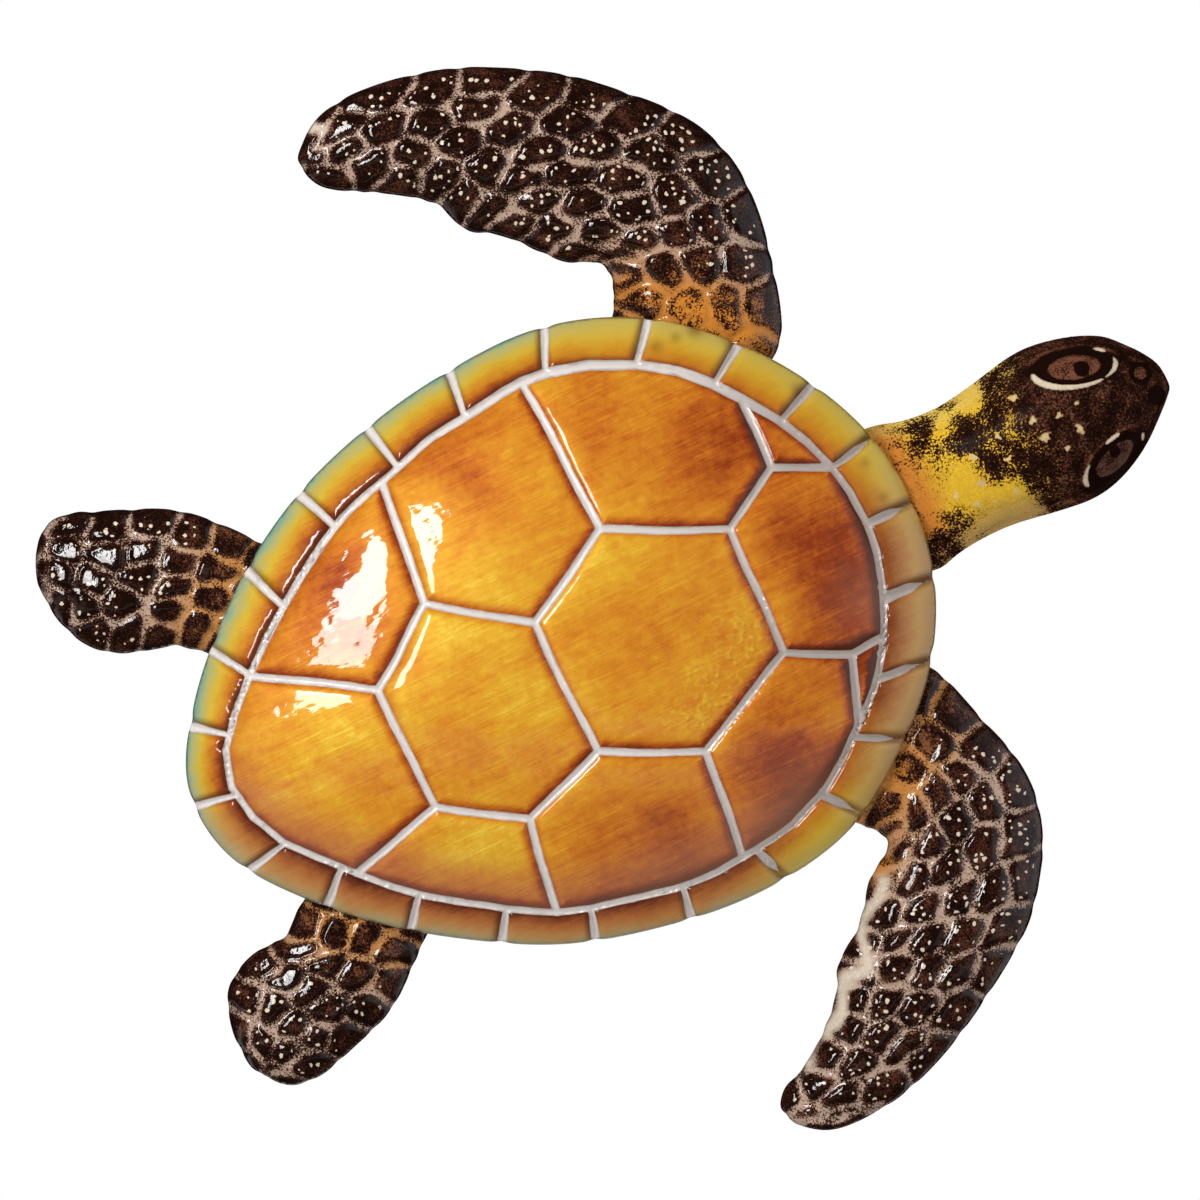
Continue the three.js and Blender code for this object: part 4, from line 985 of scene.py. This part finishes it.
class HeadPaint:
    """Ground colour and sponge pressure over the head."""

    def __init__(self, plan, root, edge):
        self.plan = plan
        self.ground = blend(YELLOW, AMBER, ease(root, *NECK_AMBER))
        # Tan along the lower edge, and a painted highlight along the upper edge
        for colour, most, reach, z in NECK_EDGE_TINTS:
            self.ground = blend(self.ground, colour, most * ease(edge, *reach) * ease(plan[:, 1], *z))
        self.ground = blend(self.ground, HEAD_BROWN, np.clip(patches(plan, HEAD_BROWNED), 0, 1))
        self.pressure = np.clip(HEAD_STIPPLE + patches(plan, HEAD_SPONGE), *STIPPLE_RANGE)

    def lay(self, share, colour, pressure):
        """Lays a colour, with the sponge's pressure over it."""
        self.ground = blend(self.ground, colour, share)
        self.pressure = self.pressure * (1 - share) + pressure * share

    def spots(self):
        """Lays the cream spots."""
        for x, z, radius in HEAD_SPOTS:
            away = np.linalg.norm(wavering(self.plan, *SPOT_WAVER) - (x, z), axis=1)
            self.lay(ease(away, 1.1 * radius, 0.4 * radius), SPOT_CREAM, 0.2)

    def eye(self, middle, radii, turn, iris, pupil, whites):
        """Lays an eye and gives the height of its lid and ball."""
        along, across = oval(self.plan, middle, radii, turn)
        reach = np.hypot(along, across)
        self.lay(ease(reach, *EYE_SOCKET), DARK_BROWN, 0.75)
        fold = ease(np.abs(reach - LID_FOLD), 0.10, 0.04) * ease(across, 0.2, 0.6)
        self.lay(0.8 * fold, LID_BROWN, 0.5)
        self.lay(ease(reach, *EYE_DARK), BLACK, 0.95)
        self.lay(ease(reach, *EYE_IRIS), iris, 0.48)
        bearing = np.degrees(np.arctan2(across, along))
        for start, end, width in whites:
            turned = np.abs((bearing - (start + end) / 2 + 180) % 360 - 180) / ((end - start) / 2)
            thick = width * np.sqrt(np.maximum(1 - turned ** 2, 0))
            share = ease(np.abs(reach - 1), thick + 0.03, thick - 0.05) * (turned < 1)
            self.lay(share, EYE_CREAM, 0.0)
        x, z, radius = pupil
        away = np.linalg.norm(self.plan - (x, z), axis=1)
        self.lay(ease(away, radius + PUPIL_EDGE, radius - PUPIL_EDGE), BLACK, 1.0)
        return EYE_LID * np.exp(-((reach - 1) / 0.2) ** 2) + EYE_BALL * ease(reach, 0.85, 0.1)


def make_head(rim, paint, back):
    """Head and neck: a smooth swelling with eyes and nostrils, yellow behind and dark in front."""
    sheet = CadSheet("head")
    sheet.seams = []
    plan, faces = fill_plan(sheet, HEAD_STEP, [])
    known = np.unique(sheet.faces)
    known = known[sheet.height[known] > FOOT + 1]
    base = smooth_height(plan, sheet.plan[known], sheet.height[known], HEAD_REACH)
    edge = distance_to(sheet.turned_down, plan)
    root = rim.outside(plan)
    colours = HeadPaint(plan, root, edge)
    colours.spots()
    relief = colours.eye(*UPPER_EYE) + colours.eye(*LOWER_EYE)
    for x, z, radius, colour, pressure in NOSTRILS:
        away = np.linalg.norm(plan - (x, z), axis=1) / radius
        colours.lay(ease(away, *NOSTRIL_DARK), BLACK, 0.95)
        colours.lay(ease(away, *NOSTRIL_HOLE), colour, pressure)
        relief += NOSTRIL_RIM * np.exp(-((away - 1) / 0.35) ** 2)
    raised = np.minimum(base + relief, rim.limit(plan))
    height = FOOT + (raised - FOOT) * shoulder(edge / EDGE_ROUND)
    marks = {"ground": colours.ground, "pressure": colours.pressure, "dots": np.zeros(len(plan))}
    piece = sheet_object("turtle_head", plan, height, faces, marks, [paint, back])
    dress(piece, "head")


def held_behind(front, points):
    """Points of a bead, kept behind the shell's sheet."""
    held = []
    for x, y, z in points:
        place = front.ray_cast((x, -1.0, z), (0, 1, 0))[0]
        held.append((x, y if place is None else max(y, place[1] + SHEET * MM), z))
    return held


def make_bead(node, front, paint):
    """A weld bead: a long drop with the ripples that the weld pool leaves."""
    corners = np.array([vertex.co[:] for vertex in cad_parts[node].data.vertices])
    middle = (corners.min(axis=0) + corners.max(axis=0)) / 2
    axes = np.linalg.svd(corners - corners.mean(axis=0), full_matrices=False)[2]
    reach = np.abs((corners - middle) @ axes.T).max(axis=0)
    ahead, aside, up = axes * reach[:, None]
    points = [middle - ahead]
    for along in np.linspace(-BEAD_END, BEAD_END, BEAD_RINGS):
        width = 1 - BEAD_RIPPLE * abs(math.sin(BEAD_RIPPLES * math.pi * along))
        width *= math.sqrt(1 - along ** 2)
        for turn in np.arange(BEAD_SIDES) * 2 * math.pi / BEAD_SIDES:
            lag = BEAD_LAG * math.cos(turn) * (1 - along ** 2)
            across = aside * math.cos(turn) + up * math.sin(turn)
            points.append(middle + ahead * (along + lag) + across * width)
    points.append(middle + ahead)
    last = len(points) - 1
    end = last - BEAD_SIDES
    faces = tube_faces(BEAD_RINGS, BEAD_SIDES, 1)
    for side in range(BEAD_SIDES):
        other = (side + 1) % BEAD_SIDES
        faces += [(0, 1 + other, 1 + side), (last, end + side, end + other)]
    bead = mesh_object(f"bead_{node}", held_behind(front, points), faces, [paint])
    if np.linalg.det(axes) < 0:
        bead.data.flip_normals()
    bead.data.shade_smooth()
    dress(bead, node)


def dress_hanger(paint):
    """The hanger strip keeps its CAD shape, with softened edges."""
    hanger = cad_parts["hanger_bracket"]
    for slot in hanger.material_slots:
        slot.material = paint
    edge = hanger.modifiers.new("soft_edges", "BEVEL")
    edge.width = HANGER_SOFTNESS
    edge.segments = 2
    edge.limit_method = "ANGLE"


def make_surroundings():
    """White surroundings, which light the object less than they show."""
    scene = bpy.context.scene
    scene.view_settings.view_transform = "Standard"
    scene.world = bpy.data.worlds.new("studio")
    shader = Shader(scene.world, "Background")
    shader.finish(Color=WHITE, Strength=shader.step(shader.seen(), 0.0, 1.0, ROOM_LIGHT, 1.0))


def screen_paint():
    """Dark all round, pale far out on the bottom and at the right-hand end."""
    shader = new_paint("dark_screen")
    place = shader.place()
    way = shader.node("SeparateXYZ", {0: place})
    bottom = shader.mix(shader.step(shader.length(place), *SCREEN_FADE), SCREEN_DARK, SCREEN_PALE)
    side = shader.mix(shader.step(way["X"], *SIDE_FADE), SCREEN_DARK, SCREEN_SIDE)
    room = shader.mix(shader.step(way["Z"], *BOTTOM_FADE), bottom, side)
    return shader.finish(Base_Color=room, Roughness=0.9, Specular_IOR_Level=0.0)


def make_dark_screen():
    """Dark dome with a flat bottom, which only gloss shows: the dim room that it mirrors."""
    rises = [math.radians(rise) for rise in range(-90, 91, SCREEN_STEP)]
    turns = [math.radians(turn) for turn in range(0, 360, SCREEN_STEP)]
    corners = []
    for rise in rises:
        up = max(math.sin(rise), SCREEN_LOW / SCREEN_RADIUS)
        for turn in turns:
            out = Vector((math.cos(rise) * math.cos(turn), math.cos(rise) * math.sin(turn), up))
            corners.append(SCREEN_RADIUS * out)
    screen = mesh_object("dark_screen", corners, tube_faces(len(rises), len(turns)), [screen_paint()])
    screen.visible_camera = False
    screen.visible_diffuse = False
    screen.visible_shadow = False


def floor_paint():
    """Pale, fading into the white surroundings, and clear from below."""
    shader = new_paint("floor")
    away = shader.length(shader.vector("MULTIPLY", {0: shader.place(), 1: (1, 1, 0)}))
    fade = shader.math("MULTIPLY", shader.seen(), shader.step(away, *FLOOR_FADE))
    paint = shader.finish(Base_Color=FLOOR_PALE, Roughness=0.9, Specular_IOR_Level=0.0)
    white = shader.node("Emission", {"Color": WHITE, "Strength": 1.0})[0]
    top = shader.node("MixShader", {0: fade, 1: shader.surface.outputs[0], 2: white})[0]
    clear = shader.node("BsdfTransparent")[0]
    under = shader.node("NewGeometry")["Backfacing"]
    both = shader.node("MixShader", {0: under, 1: top, 2: clear})[0]
    shader.feed(shader.tree.nodes["Material Output"].inputs["Surface"], both)
    return paint


def make_floor():
    """Pale round floor well below the object."""
    turns = [2 * math.pi * side / FLOOR_SIDES for side in range(FLOOR_SIDES)]
    ring = [FLOOR_RADIUS * Vector((math.cos(turn), math.sin(turn), 0)) for turn in turns]
    corners = [(point.x, point.y, FLOOR_Z) for point in ring]
    mesh_object("floor", corners, [range(FLOOR_SIDES)], [floor_paint()])


def add_lamp(name, place, size, power, mirrored):
    """A soft rectangular lamp that looks at the object."""
    data = bpy.data.lights.new(name, "AREA")
    data.shape = "RECTANGLE"
    data.size, data.size_y = size
    data.energy = power
    lamp = new_object(name, data)
    lamp.location = place
    lamp.rotation_euler = (Vector(LAMP_TARGET) - Vector(place)).to_track_quat("-Z", "Y").to_euler()
    lamp.visible_glossy = mirrored


def make_camera():
    """Straight in front of the object, with a long lens."""
    data = bpy.data.cameras.new("camera")
    data.lens = LENS
    data.sensor_width = SENSOR
    camera = new_object("camera", data)
    x, z = PICTURE_MIDDLE
    camera.location = (x, PICTURE_PLANE - PICTURE_WIDTH * LENS / SENSOR, z)
    camera.rotation_euler = (math.pi / 2, 0, 0)
    bpy.context.scene.camera = camera


back = plain_metal("sheet_back", *SHEET_BACK)
rim = ShellRim(make_shell(shell_paint(), back))
flipper_paint = sponged_paint("flipper_paint", *FLIPPER_COAT)
for node in FLIPPERS:
    make_flipper(node, rim, flipper_paint, back)
make_head(rim, sponged_paint("head_paint", *HEAD_COAT), back)
weld = plain_metal("weld_metal", *WELD_METAL)
shell = bpy.data.meshes["turtle_shell"]
front = BVHTree.FromPolygons(
    [point.co for point in shell.vertices], [face.vertices for face in shell.polygons])
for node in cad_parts:
    if "_weld_" in node:
        make_bead(node, front, weld)
dress_hanger(plain_metal("hanger_steel", *HANGER_STEEL))

make_surroundings()
make_floor()
make_dark_screen()
for lamp in LAMPS:
    add_lamp(*lamp)
make_camera()
